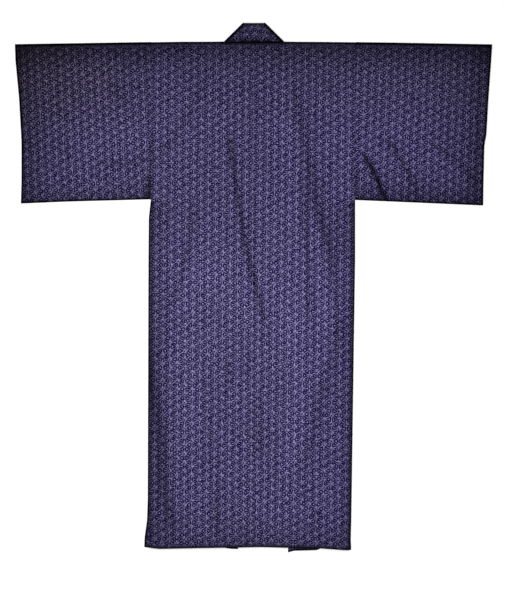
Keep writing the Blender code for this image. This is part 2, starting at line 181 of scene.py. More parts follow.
@dataclass(frozen=True)
class Step:
    """A soft step: 0 up to where it starts, and 1 from where it is full, in millimetres."""

    start: float
    full: float

    def at(self, value: Array) -> Array:
        """The step's height at a value."""
        return smooth((value - self.start) / (self.full - self.start))


@dataclass(frozen=True)
class EdgeShade:
    """Painted shade towards an edge: its level there, and two soft steps up to full."""

    level: float
    first: float
    first_reach: float
    second: float
    second_reach: float

    def at(self, distance: Array) -> Array:
        """The level at a distance from the edge."""
        near = self.level + self.first * smooth(distance / self.first_reach)
        return near + self.second * smooth(distance / self.second_reach)


# Painted shade where the cloth turns away from the light: below the shoulder line, at the cuffs, under the
# arms, at the sides and at the hem.
TOP_SHADE = EdgeShade(level=0.30, first=0.42, first_reach=100.0,
                    second=0.28, second_reach=250.0)
CUFF_SHADE = EdgeShade(level=0.40, first=0.22, first_reach=70.0,
                     second=0.38, second_reach=250.0)
LOW_CUFF_SHADE = EdgeShade(level=0.46, first=0.28, first_reach=80.0,
                         second=0.26, second_reach=200.0)
LEFT_ARM_SHADE = EdgeShade(level=0.60, first=0.22, first_reach=50.0,
                         second=0.18, second_reach=110.0)
RIGHT_ARM_SHADE = EdgeShade(level=0.44, first=0.26, first_reach=60.0,
                          second=0.30, second_reach=130.0)
LEFT_SIDE_SHADE = EdgeShade(level=0.34, first=0.37, first_reach=26.0,
                          second=0.29, second_reach=90.0)
LEFT_SKIRT_SHADE = EdgeShade(level=0.58, first=0.12, first_reach=26.0,
                           second=0.30, second_reach=90.0)
RIGHT_SIDE_SHADE = EdgeShade(level=0.36, first=0.46, first_reach=26.0,
                           second=0.18, second_reach=80.0)
HEM_SHADE = EdgeShade(level=0.64, first=0.14, first_reach=50.0,
                    second=0.22, second_reach=110.0)


@dataclass(frozen=True)
class Crease:
    """One soft crease: a trough along a line of points, with a ridge on either side of it.

    Width, depth, ridges and reach are in millimetres. The ridges lie a little more than the
    trough's width away. The start and the end are shares of the length over which it fades.
    """

    place: str
    line: Tuple[Point, ...]
    width: float
    depth: float
    left: float = 0.0
    right: float = 0.0
    # Painted shade: dark darkens the trough, and dim_left and dim_right the slopes beside it out to the
    # reach; below 0 they paint lighter.
    dark: float = 0.0
    start: float = 0.15
    end: float = 0.15
    dim_left: float = 0.0
    dim_right: float = 0.0
    reach: float = 100.0
    ridge_place: float = 1.9
    ridge_width: float = 1.2
    slope_rise: Step = Step(0.0, 12.0)

    def course(self) -> Array:
        """The crease's line, rounded between its points.

        Returns:
            Points along the line, as rows of X and Y.
        """
        points = np.array(self.line, float)
        ends = np.vstack([2 * points[0] - points[1], points, 2 * points[-1] - points[-2]])
        found = []
        for index in range(1, len(ends) - 2):
            before, here, ahead, after = ends[index - 1:index + 3]
            for part in np.arange(0.0, 1.0, 0.25):
                found.append(0.5 * (2 * here + (ahead - before) * part
                                    + (2 * before - 5 * here + 4 * ahead - after) * part ** 2
                                    + (3 * here - before - 3 * ahead + after) * part ** 3))
        return np.vstack(found + [points[-1]])

    def shape(self, x: Array, y: Array) -> Pair:
        """Works out what the crease does at each place.

        Args:
            x: Places across the robe.
            y: Places along the robe.

        Returns:
            The height that it adds, and the painted shade that it lays on the cloth, from 0 to 1.
        """
        line = self.course()
        lengths = np.hypot(*np.diff(line, axis=0).T)
        total, gone = lengths.sum(), 0.0
        best = np.full(x.shape, 1e9)
        hand, place = np.zeros(x.shape), np.zeros(x.shape)
        for (ax, ay), (bx, by), length in zip(line, line[1:], lengths):
            along = ((x - ax) * (bx - ax) + (y - ay) * (by - ay)) / length ** 2
            held = np.clip(along, 0.0, 1.0)
            away = np.hypot(x - ax - (bx - ax) * held, y - ay - (by - ay) * held)
            nearer = away < best
            turn = (y - ay) * (bx - ax) - (x - ax) * (by - ay)
            best = np.where(nearer, away, best)
            hand = np.where(nearer, np.sign(turn), hand)
            place = np.where(nearer, (gone + held * length) / total, place)
            gone += length
        taper = smooth(place / self.start) * smooth((1.0 - place) / self.end)
        trough = np.exp(-((best / self.width) ** 2))
        from_ridge = (best - self.ridge_place * self.width) / (self.ridge_width * self.width)
        beside = np.exp(-(from_ridge ** 2))
        ridge = np.where(hand < 0, self.left, self.right) * beside
        # Painted shade on the slopes beside the trough and in the trough.
        slope = np.where(hand < 0, self.dim_left, self.dim_right) * self.slope_rise.at(best)
        slope = slope * np.exp(-((best / self.reach) ** 2))
        dark = 1.0 - (1.0 - self.dark * trough) * (1.0 - slope)
        return (ridge - self.depth * trough) * taper, dark * taper


# Each crease paints shade into its trough; the swells, with a negative depth and dark, are raised and
# painted lighter where the light catches them.
CREASES = (
    Crease("middle of the back",
           ((-72, 460), (-68, 441), (-62, 364), (-48, 279), (-34, 179), (-14, 80), (9, -6), (29, -97),
            (37, -122)),
           width=9.0, depth=2.2, left=1.6, right=1.2, dark=0.5, start=0.1, end=0.08),
    Crease("long right fold, upper",
           ((108, 614), (122, 534), (139, 449), (153, 378), (164, 307), (179, 236), (199, 165),
            (218, 94), (231, 9), (237, -63)),
           width=11.5, depth=2.0, left=1.8, right=0.9, dark=0.34, start=0.12, end=0.25, dim_left=0.05,
           dim_right=0.08, reach=60.0),
    Crease("long right fold, lower",
           ((233, 0), (237, -80), (232, -148), (212, -233), (189, -318), (169, -404), (145, -503),
            (128, -560)),
           width=13.0, depth=1.4, left=1.0, right=1.0, dark=0.28, start=0.3, end=0.2, dim_left=0.03,
           dim_right=0.12),
    Crease("beside the long fold",
           ((161, 300), (183, 230), (200, 150), (218, 60), (229, -40), (232, -120), (218, -200)),
           width=12.0, depth=0.8, left=0.5, right=0.4, dark=0.2, start=0.25, end=0.3, dim_right=0.14,
           reach=80.0),
    Crease("right branch",
           ((142, 350), (145, 250), (150, 136), (156, 23), (162, -91), (180, -162)),
           width=10.0, depth=0.9, left=0.6, right=0.6, dark=0.3, start=0.2, end=0.2),
    Crease("left armhole drag",
           ((-131, 625), (-145, 577), (-168, 534), (-188, 492), (-211, 455), (-231, 421), (-253, 398),
            (-276, 384)),
           width=10.0, depth=1.2, left=0.8, right=0.8, dark=0.22, end=0.1),
    Crease("left sleeve drag",
           ((-296, 370), (-339, 358), (-395, 353), (-452, 361), (-481, 372)),
           width=9.0, depth=0.8, left=0.6, right=0.4, dark=0.3, start=0.1, end=0.4),
    Crease("under the left arm",
           ((-175, 250), (-177, 193), (-183, 136), (-194, 80), (-209, 23), (-231, -34), (-251, -91)),
           width=11.0, depth=0.9, left=0.6, right=0.6, dark=0.3, start=0.2, end=0.2),
    Crease("left armpit",
           ((-288, 470), (-290, 420), (-292, 360), (-298, 310), (-303, 262), (-305, 240)),
           width=5.0, depth=0.9, left=0.9, dark=0.2, start=0.25, end=0.02),
    Crease("left armpit wedge",
           ((-295, 335), (-299, 290), (-301, 240)),
           width=8.5, depth=0.8, left=0.6, dark=0.66, start=0.3, end=0.02),
    Crease("right sleeve, inner",
           ((301, 392), (324, 359), (343, 325), (358, 290), (371, 256), (375, 240)),
           width=8.0, depth=2.0, left=1.8, right=1.4, dark=0.88, start=0.2, end=0.02),
    Crease("right sleeve, middle",
           ((363, 443), (391, 407), (418, 364), (441, 321), (464, 279), (472, 262)),
           width=9.0, depth=1.3, left=1.2, right=0.8, dark=0.4, start=0.2, end=0.1),
    Crease("right sleeve, outer",
           ((500, 413), (543, 385), (585, 353), (619, 319), (642, 291)),
           width=10.0, depth=0.8, left=0.8, right=0.6, dark=0.36, start=0.3, end=0.1),
    Crease("right armpit",
           ((300, 364), (290, 348), (283, 333), (281, 316), (283, 290), (285, 262), (287, 242)),
           width=4.0, depth=0.7, left=0.4, right=0.5, dark=0.12, start=0.2, end=0.05),
    Crease("right armpit, inner arc",
           ((308, 342), (299, 330), (295, 316), (298, 300)),
           width=4.5, depth=0.5, left=0.3, right=0.3, dark=0.35),
    Crease("lower left slope",
           ((-303, -60), (-302, -120), (-300, -176), (-292, -247), (-279, -318), (-267, -404),
            (-261, -475), (-256, -546), (-243, -631), (-231, -716)),
           width=15.0, depth=1.5, left=0.2, right=1.8, dark=0.44, start=0.3, end=0.1, dim_left=0.16,
           dim_right=0.04, reach=40.0),
    Crease("ripple below the left back",
           ((-125, -219), (-128, -318), (-125, -432), (-120, -546)),
           width=13.0, depth=1.0, left=0.8, right=0.8, dark=0.06, start=0.2, end=0.2),
    Crease("short ripple",
           ((-72, -199), (-69, -247), (-67, -296)),
           width=11.0, depth=0.7, left=0.5, right=0.5, dark=0.22, start=0.3, end=0.3),
    Crease("ripple below the middle",
           ((11, -262), (14, -347), (17, -432), (11, -517)),
           width=12.0, depth=1.2, left=0.9, right=0.9, dark=0.2, start=0.25, end=0.25),
    Crease("ripple to the hem",
           ((-97, -540), (-105, -603), (-105, -660), (-99, -716)),
           width=12.0, depth=1.0, left=0.7, right=0.7, dark=0.28, start=0.25),
    Crease("right of the hem",
           ((186, -625), (174, -665), (160, -705)),
           width=13.0, depth=1.2, left=0.6, right=0.9, dark=0.24, start=0.3, end=0.3),
    Crease("below the collar",
           ((-60, 606), (-40, 574), (3, 549), (40, 500), (65, 478)),
           width=12.0, depth=0.8, left=0.6, right=0.6, dark=0.18, start=0.2, end=0.3),
    Crease("right shoulder",
           ((184, 606), (218, 563), (252, 529)),
           width=13.0, depth=0.7, left=0.5, right=0.5, dark=0.18, start=0.3, end=0.3),
    Crease("left sleeve, inner",
           ((-424, 596), (-390, 555), (-350, 520)),
           width=16.0, depth=0.8, left=0.6, right=0.6, dark=0.27, start=0.3, end=0.3),
    Crease("left sleeve, outer",
           ((-609, 520), (-552, 492), (-509, 472)),
           width=12.0, depth=0.6, left=0.5, right=0.5, dark=0.12, start=0.3, end=0.3),
    Crease("left corner of the hem",
           ((-288, -590), (-290, -660), (-300, -728)),
           width=16.0, depth=0.6, right=0.5, dark=0.16, start=0.4, end=0.1),
    Crease("right armhole drag",
           ((318, 610), (345, 540), (350, 470), (340, 420)),
           width=22.0, depth=0.6, left=0.4, right=0.4, dark=0.07, start=0.3, end=0.3),
    Crease("left swell",
           ((-191, 108), (-188, -119), (-182, -318), (-182, -546)),
           width=26.0, depth=-0.7, dark=-0.1, start=0.3, end=0.3),
    Crease("middle swell",
           ((-46, -134), (-49, -262), (-80, -375), (-77, -475)),
           width=20.0, depth=-0.5, dark=-0.08, start=0.3, end=0.3),
    Crease("right swell",
           ((74, 37), (108, -119), (122, -290), (113, -404), (96, -546), (74, -617)),
           width=24.0, depth=-0.8, dark=-0.2, start=0.3, end=0.2),
    Crease("swell above the right fold",
           ((92, 640), (96, 449), (111, 279), (122, 108)),
           width=21.0, depth=-0.7, dark=-0.14, start=0.25, end=0.25),
)


@dataclass(frozen=True)
class Tone:
    """The painted light and shade over the cloth, and where its print fades out: shares of its full colour,
    and places in millimetres.
    """

    sleeve_foot_y: float = 245.0
    # Painted light: the top of the back is painted lighter, most at the neck.
    top_glow: float = 0.03
    neck_glow: float = 0.20
    neck_glow_width: float = 120.0
    glow: Step = Step(80.0, 20.0)
    # Painted shade: where the side and cuff shades change over, and how much darker the top of the left
    # sleeve is painted.
    skirt: Step = Step(-320.0, -400.0)
    skirt_rim: float = 1.4
    low_cuff: Step = Step(430.0, 310.0)
    left_sleeve_top: float = 0.93
    left_sleeve_gain: float = 0.07
    left_sleeve: Step = Step(520.0, 440.0)
    # Where the painted shadow line starts at the cuffs and below the shoulder line.
    sleeve_rim: float = 1.2
    top_rim: float = 2.7
    # Painted shadow under the collar.
    neck_dark: float = 0.5
    neck_across: Step = Step(94.0, 88.0)
    neck_down: Step = Step(12.0, 8.0)
    # Painted shade in the grooves of the middle seam and the armhole seams.
    seam_dark: float = 0.45
    seam_width: float = 1.6
    armhole_dark: float = 0.3
    armhole_width: float = 2.0
    # Painted shadow line round every edge.
    line: float = 0.03
    line_edge: Step = Step(2.4, 5.8)
    # Painted shade over the fronts, darker towards their hem and their edge.
    front: float = 0.9
    front_edge: float = 0.25
    front_start: float = 12.0
    front_rise: Step = Step(0.0, 24.0)
    faint: float = 0.1
    plain_top: float = 11.0
    plain_side: float = 2.5
    plain_hem: float = 5.0
    plain_end: Step = Step(0.0, 5.0)
    side_seam_top: float = 235.0
    side_seam_out: float = 330.0


@dataclass(frozen=True)
class Lay:
    """How the robe lies: its levels, and the rules that give the height of every cloth."""

    wall: float = 0.7
    seam: float = 0.1
    pitch: float = 1.3
    floor_level: float = 0.5
    shoulder_y: float = 700.0
    hem_y: float = -740.0
    neck_half: float = 85.0
    neck_edge_y: float = 697.8
    neck_level: float = 3.75
    front_panel_width: float = 240.0
    least_pleat: float = 0.4
    kensaki_y: float = 470.0
    back_level: float = 5.5
    least_back_level: float = 4.35
    sleeve_puff: float = 1.2
    broad_wave: float = 0.28
    middle_wave: float = 0.22
    fine_wave: float = 0.12
    sag: float = 1.3
    seam_dip: float = 0.3
    seam_dip_width: float = 2.0
    over_fronts: float = 30.0
    armhole_folds: float = 0.35
    sleeve_folds: float = 0.35
    near_shoulder: Step = Step(560.0, 680.0)
    near_hem: Step = Step(-620.0, -740.0)
    side_rise: Step = Step(0.0, 24.0)
    shoulder_rise: Step = Step(0.0, 34.0)
    fade: Step = Step(0.0, 20.0)
    top_fade: Step = Step(0.0, 40.0)
    puffed: Step = Step(0.0, 60.0)
    sag_inward: Step = Step(0.0, 55.0)
    sag_down: Step = Step(520.0, 220.0)
    armhole: Step = Step(240.0, 260.0)
    neck_across: Step = Step(118.0, 88.0)
    neck_up: Step = Step(640.0, 685.0)
    pleat_rise: Step = Step(-44.0, -12.0)
    tone: Tone = Tone()

    @property
    def turn(self) -> float:
        """The radius of a folded edge."""
        return self.pitch / 2

    @property
    def second_level(self) -> float:
        """The height of a cloth that lies on the lowest one."""
        return self.floor_level + self.pitch

    @property
    def third_level(self) -> float:
        """The height of the third cloth of the pleat."""
        return self.floor_level + 2 * self.pitch

    def half(self, x: Array, y: Array) -> Array:
        """How far the side seam lies from the middle, on the side that x is on."""
        left, right = read(BODY_SIDES, "y", "left", y), read(BODY_SIDES, "y", "right", y)
        return np.where(np.asarray(x) < 0, -left, right)

    def sleeve_end(self, x: Array, y: Array) -> Array:
        """How far the sleeve's end lies from the middle, on the side that x is on."""
        left, right = read(SLEEVE_ENDS, "y", "left", y), read(SLEEVE_ENDS, "y", "right", y)
        return np.where(np.asarray(x) < 0, -left, right)

    def below(self, x: Array, y: Array) -> Array:
        """How far a place lies below the shoulder line."""
        return read(SHOULDER_LINE, "x", "y", x) - y

    def above(self, hem: Sequence, x: Array, y: Array) -> Array:
        """How far a place lies above a hem or a sleeve's bottom."""
        return y - read(hem, "x", "y", x)

    def trimmed(self, x: Array, y: Array, hem: Sequence) -> Array:
        """Moves a plain height onto the real shoulder line and the real hem.

        Args:
            x: Places across the robe.
            y: The plain height.
            hem: The table of the hem's line.

        Returns:
            The height at each place.
        """
        shoulder = read(SHOULDER_LINE, "x", "y", x) - self.shoulder_y
        at_hem = read(hem, "x", "y", x) - self.hem_y
        return y + shoulder * self.near_shoulder.at(y) + at_hem * self.near_hem.at(y)

    def creased(self, x: Array, y: Array) -> Pair:
        """What all the creases and the cloth's own soft waves do at each place.

        A wave's lengths are in millimetres for one radian.

        Args:
            x: Places across the robe.
            y: Places along it.

        Returns:
            The height that they add, and the painted shade of the creases, from 0 to 1.
        """
        broad = np.sin(x / 61.0 + 1.3 * np.sin(y / 170.0) + 0.7)
        middle = np.sin(x / 37.0 - y / 240.0 + 2.1) * np.sin(y / 130.0 + 0.4)
        fine = np.sin(x / 19.0 + y / 90.0) * np.sin(y / 47.0 - x / 80.0)
        height = self.broad_wave * broad + self.middle_wave * middle + self.fine_wave * fine
        light = np.ones(np.shape(x))
        for crease in CREASES:
            rise, dark = crease.shape(x, y)
            height = height + rise
            light = light * (1.0 - dark)
        return height, 1.0 - light

    def upper(self, x: Array, y: Array) -> Pair:
        """The upper cloth over the body and the sleeves.

        Args:
            x: Places across the robe.
            y: Places along it.

        Returns:
            The height of the cloth's middle, and how much of its full colour it shows under the painted
            light and shade.
        """
        x, y = np.asarray(x, float), np.asarray(y, float)
        folds, dark = self.creased(x, y)
        beyond = np.abs(x) > self.half(x, y)
        level = np.where(beyond, self.on_sleeve(x, y, folds), self.on_body(x, y, folds))
        return level, self.shade(x, y, dark)

    def on_sleeve(self, x: Array, y: Array, folds: Array) -> Array:
        """The height of a sleeve's upper cloth.

        Args:
            x: Places across the robe.
            y: Places along it.
            folds: The height that the creases add.

        Returns:
            The height of the cloth's middle.
        """
        out = np.abs(x) - self.half(x, y)
        near = np.minimum(self.below(x, y), self.above(SLEEVE_BOTTOMS, x, y))
        near = np.minimum(near, self.sleeve_end(x, y) - np.abs(x))
        puff = self.sleeve_puff * self.puffed.at(near) * self.puffed.at(out)
        shown = self.fade.at(near) * (self.sleeve_folds + (1.0 - self.sleeve_folds) * self.fade.at(out))
        return np.maximum(self.second_level, self.second_level + puff + folds * shown)

    def on_body(self, x: Array, y: Array, folds: Array) -> Array:
        """The height of the back, which lies over the fronts and comes down to their pressed edges.

        Args:
            x: Places across the robe.
            y: Places along it.
            folds: The height that the creases add.

        Returns:
            The height of the cloth's middle.
        """
        below, inward = self.below(x, y), self.half(x, y) - np.abs(x)
        rise = self.side_rise.at(inward) * self.shoulder_rise.at(below)
        left_edge, right_edge = -read(FRONTS, "y", "left_edge", y), read(FRONTS, "y", "right_edge", y)
        inside = np.minimum(x - left_edge, right_edge - x)
        sag = self.sag * self.sag_inward.at(inside) * self.sag_down.at(y)
        armhole = self.armhole_folds * self.armhole.at(y)
        shown = (armhole + (1 - armhole) * self.fade.at(inward)) * self.top_fade.at(below)
        level = self.second_level + (self.back_level - self.second_level) * rise
        level = level - self.seam_dip * np.exp(-((x / self.seam_dip_width) ** 2)) - sag + folds * shown
        floor = self.second_level + (self.least_back_level - self.second_level) * rise
        level = np.maximum(level, np.where(inside > self.over_fronts, self.second_level, floor))
        return level + (self.neck_level - level) * self.neck_across.at(np.abs(x)) * self.neck_up.at(y)

    def shade(self, x: Array, y: Array, dark: Array) -> Array:
        """The painted light and shade: how much of its full colour the cloth shows, less in creases and
        towards pressed edges.

        Args:
            x: Places across the robe.
            y: Places along it.
            dark: The painted shade of the creases.

        Returns:
            The share of its full colour at each place.
        """
        tone, across, half = self.tone, np.abs(x), self.half(x, y)
        below, above_hem = self.below(x, y), self.above(BACK_HEM, x, y)
        from_end, from_bottom = self.sleeve_end(x, y) - across, self.above(SLEEVE_BOTTOMS, x, y)
        side = np.where(y > tone.sleeve_foot_y, FAR, half - across)
        # Painted shade in the creases and below the shoulder line, painted light along the robe, and painted
        # light near the top of the back, most at the neck.
        glow = tone.top_glow + tone.neck_glow * np.exp(-((x / tone.neck_glow_width) ** 2))
        show = (1.0 - dark) * read(LIGHT_LEVELS, "y", "level", y) * TOP_SHADE.at(below)
        show = show * (1.0 + glow * tone.glow.at(below))
        # Painted shade towards the sides, the hem and the cuffs and under the arms; the top of the left
        # sleeve is painted darker.
        skirt, low = tone.skirt.at(y), tone.low_cuff.at(y)
        left = LEFT_SIDE_SHADE.at(side) * (1.0 - skirt) + LEFT_SKIRT_SHADE.at(side) * skirt
        body = np.where(x < 0, left, RIGHT_SIDE_SHADE.at(side)) * HEM_SHADE.at(above_hem)
        under_arm = np.where(x < 0, LEFT_ARM_SHADE.at(from_bottom), RIGHT_ARM_SHADE.at(from_bottom))
        cuff = CUFF_SHADE.at(from_end) * (1.0 - low) + LOW_CUFF_SHADE.at(from_end) * low
        left_top = tone.left_sleeve_top + tone.left_sleeve_gain * tone.left_sleeve.at(y)
        sleeve = cuff * under_arm * np.where(x < 0, left_top, 1.0)
        # Painted shadow line round the edges.
        sleeve_rim = np.minimum(from_end, from_bottom) - tone.sleeve_rim
        body_rim = np.minimum(side - tone.skirt_rim * skirt * (x < 0), above_hem)
        rim = np.minimum(np.where(across > half, sleeve_rim, body_rim), below - tone.top_rim)
        # Painted shadow under the collar, and painted shade in the seam grooves.
        at_neck = tone.neck_across.at(across) * tone.neck_down.at(below)
        armhole = np.exp(-(((across - half) / tone.armhole_width) ** 2)) * (y > tone.sleeve_foot_y)
        seam = 1.0 - tone.seam_dark * np.exp(-((x / tone.seam_width) ** 2)) - tone.armhole_dark * armhole
        show = show * seam * np.where(across > half, sleeve, body)
        return show * self.outline(rim) * (1.0 - tone.neck_dark * at_neck)

    def outline(self, rim: Array) -> Array:
        """The painted shadow line round an edge, from the distance to the edge."""
        return self.tone.line + (1.0 - self.tone.line) * self.tone.line_edge.at(rim)

    def front_shade(self, x: Array, y: Array, along: Array) -> Array:
        """The painted shade of a front: less of its full colour towards its hem and its edge.

        Args:
            x: Places across the robe.
            y: Places along it.
            along: How far each place lies from the cloth's own edge.

        Returns:
            The share of its full colour at each place.
        """
        tone, near = self.tone, self.above(FRONT_HEM, x, y)
        risen = tone.front_rise.at(np.minimum(near, along + tone.front_start))
        return tone.front * (tone.front_edge + (1.0 - tone.front_edge) * risen) * self.outline(near)

    def printed(self, x: Array, y: Array) -> Array:
        """How clearly the print shows: not at all in the narrow bands at the folded edges.

        Args:
            x: Places across the robe.
            y: Places along it.

        Returns:
            The print's share of its full strength.
        """
        tone = self.tone
        on_side = (y < tone.side_seam_top) & (np.abs(x) < tone.side_seam_out)
        side = np.where(on_side, self.half(x, y) - np.abs(x), FAR) - tone.plain_side
        hem, top = self.above(BACK_HEM, x, y) - tone.plain_hem, self.below(x, y) - tone.plain_top
        return tone.faint + (1.0 - tone.faint) * tone.plain_end.at(np.minimum(top, np.minimum(side, hem)))

    def front(self, side: Side, y: float) -> Tuple[float, float, float, float, float]:
        """Where a front lies at a height.

        Args:
            side: The wearer's side.
            y: The height.

        Returns:
            The side seam, the pleat's inner turn, its outer turn, the edge and the overlap's seam.
        """
        name = side.name.lower()
        half = float(self.half(side.value, y))
        sewn = float(read(FRONTS, "y", "sewn_width", y))
        edge = float(read(FRONTS, "y", name + "_edge", y))
        outer = float(read(FRONTS, "y", name + "_pleat", y))
        depth = max((sewn - (half - edge)) / 2.0, 2.0 * self.turn + self.least_pleat)
        seam = max(outer - (self.front_panel_width - (half - outer + 2.0 * depth)), edge)
        return half, outer - depth, outer, edge, seam

    def over_pleat(self, x: Array, inner: float) -> Array:
        """The height of the cloth over the pleat, which comes down to the floor beyond it."""
        return self.floor_level + (self.third_level - self.floor_level) * self.pleat_rise.at(x - inner)


LAY = Lay()
NEAR_HEM_Y = -734.0
HEM_ROWS = (-736.5, LAY.hem_y)


@dataclass(frozen=True)
class Askew:
    """How far off the robe's own lattice a cloth was cut and laid, in millimetres.

    The print moves across by one step at the shoulders and another at the hem, and along by one
    step at the cloth's inner edge and another at its outer edge.
    """

    at_shoulder: float
    at_hem: float
    at_inner: float
    at_outer: float
    inner_edge: float
    outer_edge: float

    def place(self, x: Array, y: Array) -> Pair:
        """The place of the print at a place of the cloth.

        Args:
            x: Places across the robe.
            y: Places along it.

        Returns:
            Places across and along the print.
        """
        down = (LAY.shoulder_y - y) / (LAY.shoulder_y - LAY.hem_y)
        out = (np.abs(x) - self.inner_edge) / (self.outer_edge - self.inner_edge)
        across = self.at_shoulder + (self.at_hem - self.at_shoulder) * down
        along = self.at_inner + (self.at_outer - self.at_inner) * out
        return x - across, y - along


BACK_ASKEW = {
    Side.LEFT: Askew(at_shoulder=-1.0, at_hem=-10.0, at_inner=1.0, at_outer=5.0, inner_edge=0.0,
                     outer_edge=290.0),
    Side.RIGHT: Askew(at_shoulder=-2.0, at_hem=-15.0, at_inner=1.0, at_outer=-12.0, inner_edge=0.0,
                      outer_edge=290.0),
}
SLEEVE_ASKEW = {
    Side.LEFT: Askew(at_shoulder=3.0, at_hem=3.0, at_inner=0.0, at_outer=-6.0, inner_edge=290.0,
                     outer_edge=670.0),
    Side.RIGHT: Askew(at_shoulder=-5.0, at_hem=-5.0, at_inner=-8.0, at_outer=0.0, inner_edge=290.0,
                      outer_edge=670.0),
}


class Value:
    """A number in a material's node tree. Arithmetic on it adds Math nodes."""

    def __init__(self, graph: "Graph", socket: Socket) -> None:
        """Keeps the socket that holds the number."""
        self.graph, self.socket = graph, socket

    def __add__(self, other: object) -> "Value":
        """This number and another together."""
        return self.graph.math("ADD", self, other)

    def __sub__(self, other: object) -> "Value":
        """This number less another."""
        return self.graph.math("SUBTRACT", self, other)

    def __rsub__(self, other: object) -> "Value":
        """Another number less this one."""
        return self.graph.math("SUBTRACT", other, self)

    def __mul__(self, other: object) -> "Value":
        """This number times another."""
        return self.graph.math("MULTIPLY", self, other)


class Graph:
    """A new material and its node tree, with short ways to add the nodes that a pattern needs."""

    def __init__(self, name: str) -> None:
        """Starts the material.

        Args:
            name: The material's name.
        """
        self.material = bpy.data.materials.new(name)
        self.material.use_nodes = True
        self.tree = self.material.node_tree

    def add(self, kind: str, source: object = None, inputs: Optional[Dict[str, object]] = None,
            **values: object) -> bpy.types.Node:
        """Adds a node.

        Args:
            kind: The node's type.
            source: What its first input takes, if anything.
            inputs: What its other inputs take, by name.
            values: Its properties.

        Returns:
            The node.
        """
        node = self.tree.nodes.new(kind)
        for name, value in values.items():
            setattr(node, name, value)
        if source is not None:
            self.put(source, node.inputs[0])
        for name, value in (inputs or {}).items():
            self.put(value, node.inputs[name])
        return node

    def put(self, source: object, socket: Socket) -> None:
        """Links a socket, or sets a number or a colour on it.

        Args:
            source: The socket or number that it takes, or a colour.
            socket: The input.
        """
        if isinstance(source, Value):
            source = source.socket
        if isinstance(source, Socket):
            self.tree.links.new(source, socket)
        else:
            socket.default_value = source

    def math(self, operation: str, *sources: object) -> Value:
        """Adds a Math node and gives its result.

        Args:
            operation: The node's operation.
            sources: What each of its inputs takes.

        Returns:
            The result.
        """
        node = self.add("ShaderNodeMath", operation=operation)
        for source, socket in zip(sources, node.inputs):
            self.put(source, socket)
        return Value(self, node.outputs[0])

    def attribute(self, name: str) -> Value:
        """Reads a number that the mesh's points carry."""
        return Value(self, self.add("ShaderNodeAttribute", attribute_name=name).outputs["Fac"])

    def dot(self, vector: Socket, degrees: float) -> Value:
        """How far a place lies along a direction in the cloth.

        Args:
            vector: The place.
            degrees: The direction, anticlockwise from the cloth's X.

        Returns:
            The distance, in the place's own unit.
        """
        node = self.add("ShaderNodeVectorMath", vector, operation="DOT_PRODUCT")
        angle = math.radians(degrees)
        node.inputs[1].default_value = (math.cos(angle), math.sin(angle), 0.0)
        return Value(self, node.outputs["Value"])

    def sum(self, first: Socket, second: object) -> Socket:
        """Two vectors together.

        Args:
            first: One vector.
            second: The other one.

        Returns:
            Their sum.
        """
        node = self.add("ShaderNodeVectorMath", first, operation="ADD")
        self.put(second, node.inputs[1])
        return node.outputs[0]

    def scaled(self, vector: Socket, factor: float) -> Socket:
        """A vector, made longer or shorter."""
        return self.add("ShaderNodeVectorMath", vector, {"Scale": factor}, operation="SCALE").outputs[0]

    def cloud(self, vector: Socket, scale: float, detail: float) -> bpy.types.Node:
        """Adds soft noise over the cloth."""
        return self.add("ShaderNodeTexNoise", None, {"Vector": vector, "Scale": scale, "Detail": detail})

    def noise(self, vector: Socket, scale: float, detail: float) -> Value:
        """The value of soft noise over the cloth."""
        return Value(self, self.cloud(vector, scale, detail).outputs["Fac"])

    def ramp(self, value: object, low: float, high: float, first: float, last: float) -> Value:
        """Turns a stretch of a value into another, softly at both ends.

        Args:
            value: The value.
            low: The start of its stretch.
            high: The end of its stretch.
            first: What the start becomes.
            last: What the end becomes.

        Returns:
            The new value.
        """
        node = self.add("ShaderNodeMapRange", interpolation_type="SMOOTHSTEP")
        for source, socket in zip((value, low, high, first, last), node.inputs):
            self.put(source, socket)
        return Value(self, node.outputs[0])

    def mix(self, part: object, first: object, second: object, blend: str = "MIX") -> Socket:
        """Mixes two colours.

        Args:
            part: How much the second colour counts, from 0 to 1.
            first: One colour.
            second: The other one.
            blend: The node's way of mixing.

        Returns:
            The mixed colour.
        """
        node = self.add("ShaderNodeMix", data_type="RGBA", blend_type=blend)
        for source, index in ((part, 0), (first, 6), (second, 7)):
            self.put(source, node.inputs[index])
        return node.outputs[2]

    def colour(self, *parts: object) -> Socket:
        """A colour from its red, green and blue parts.

        Args:
            parts: The three parts.

        Returns:
            The colour.
        """
        node = self.add("ShaderNodeCombineColor")
        for part, socket in zip(parts, node.inputs):
            self.put(part, socket)
        return node.outputs[0]

    def bumps(self, height: Value, strength: float, distance: float) -> Socket:
        """Small bumps in a surface."""
        inputs = {"Strength": strength, "Distance": distance, "Height": height}
        return self.add("ShaderNodeBump", None, inputs).outputs[0]

    def finish(self, inputs: Dict[str, object]) -> Material:
        """Gives the material, once its shader has what each of its inputs takes.

        Args:
            inputs: What each named input of the shader takes.

        Returns:
            The material.
        """
        for name, source in inputs.items():
            self.put(source, self.tree.nodes["Principled BSDF"].inputs[name])
        return self.material


class PrintLine(Enum):
    """The line families of the print: their direction, half width in mm, and strength."""

    UPRIGHT = (90.0, 1.6, 0.5)
    RISING = (30.0, 1.4, 0.45)
    FALLING = (-30.0, 1.0, 0.45)


@dataclass(frozen=True)
class Stroke:
    """A short stroke of the print: its place from a corner of the lattice, and its shape."""

    x: float
    y: float
    half_width: float
    strength: float
    stretch: float = 1.0
    degrees: float = 0.0


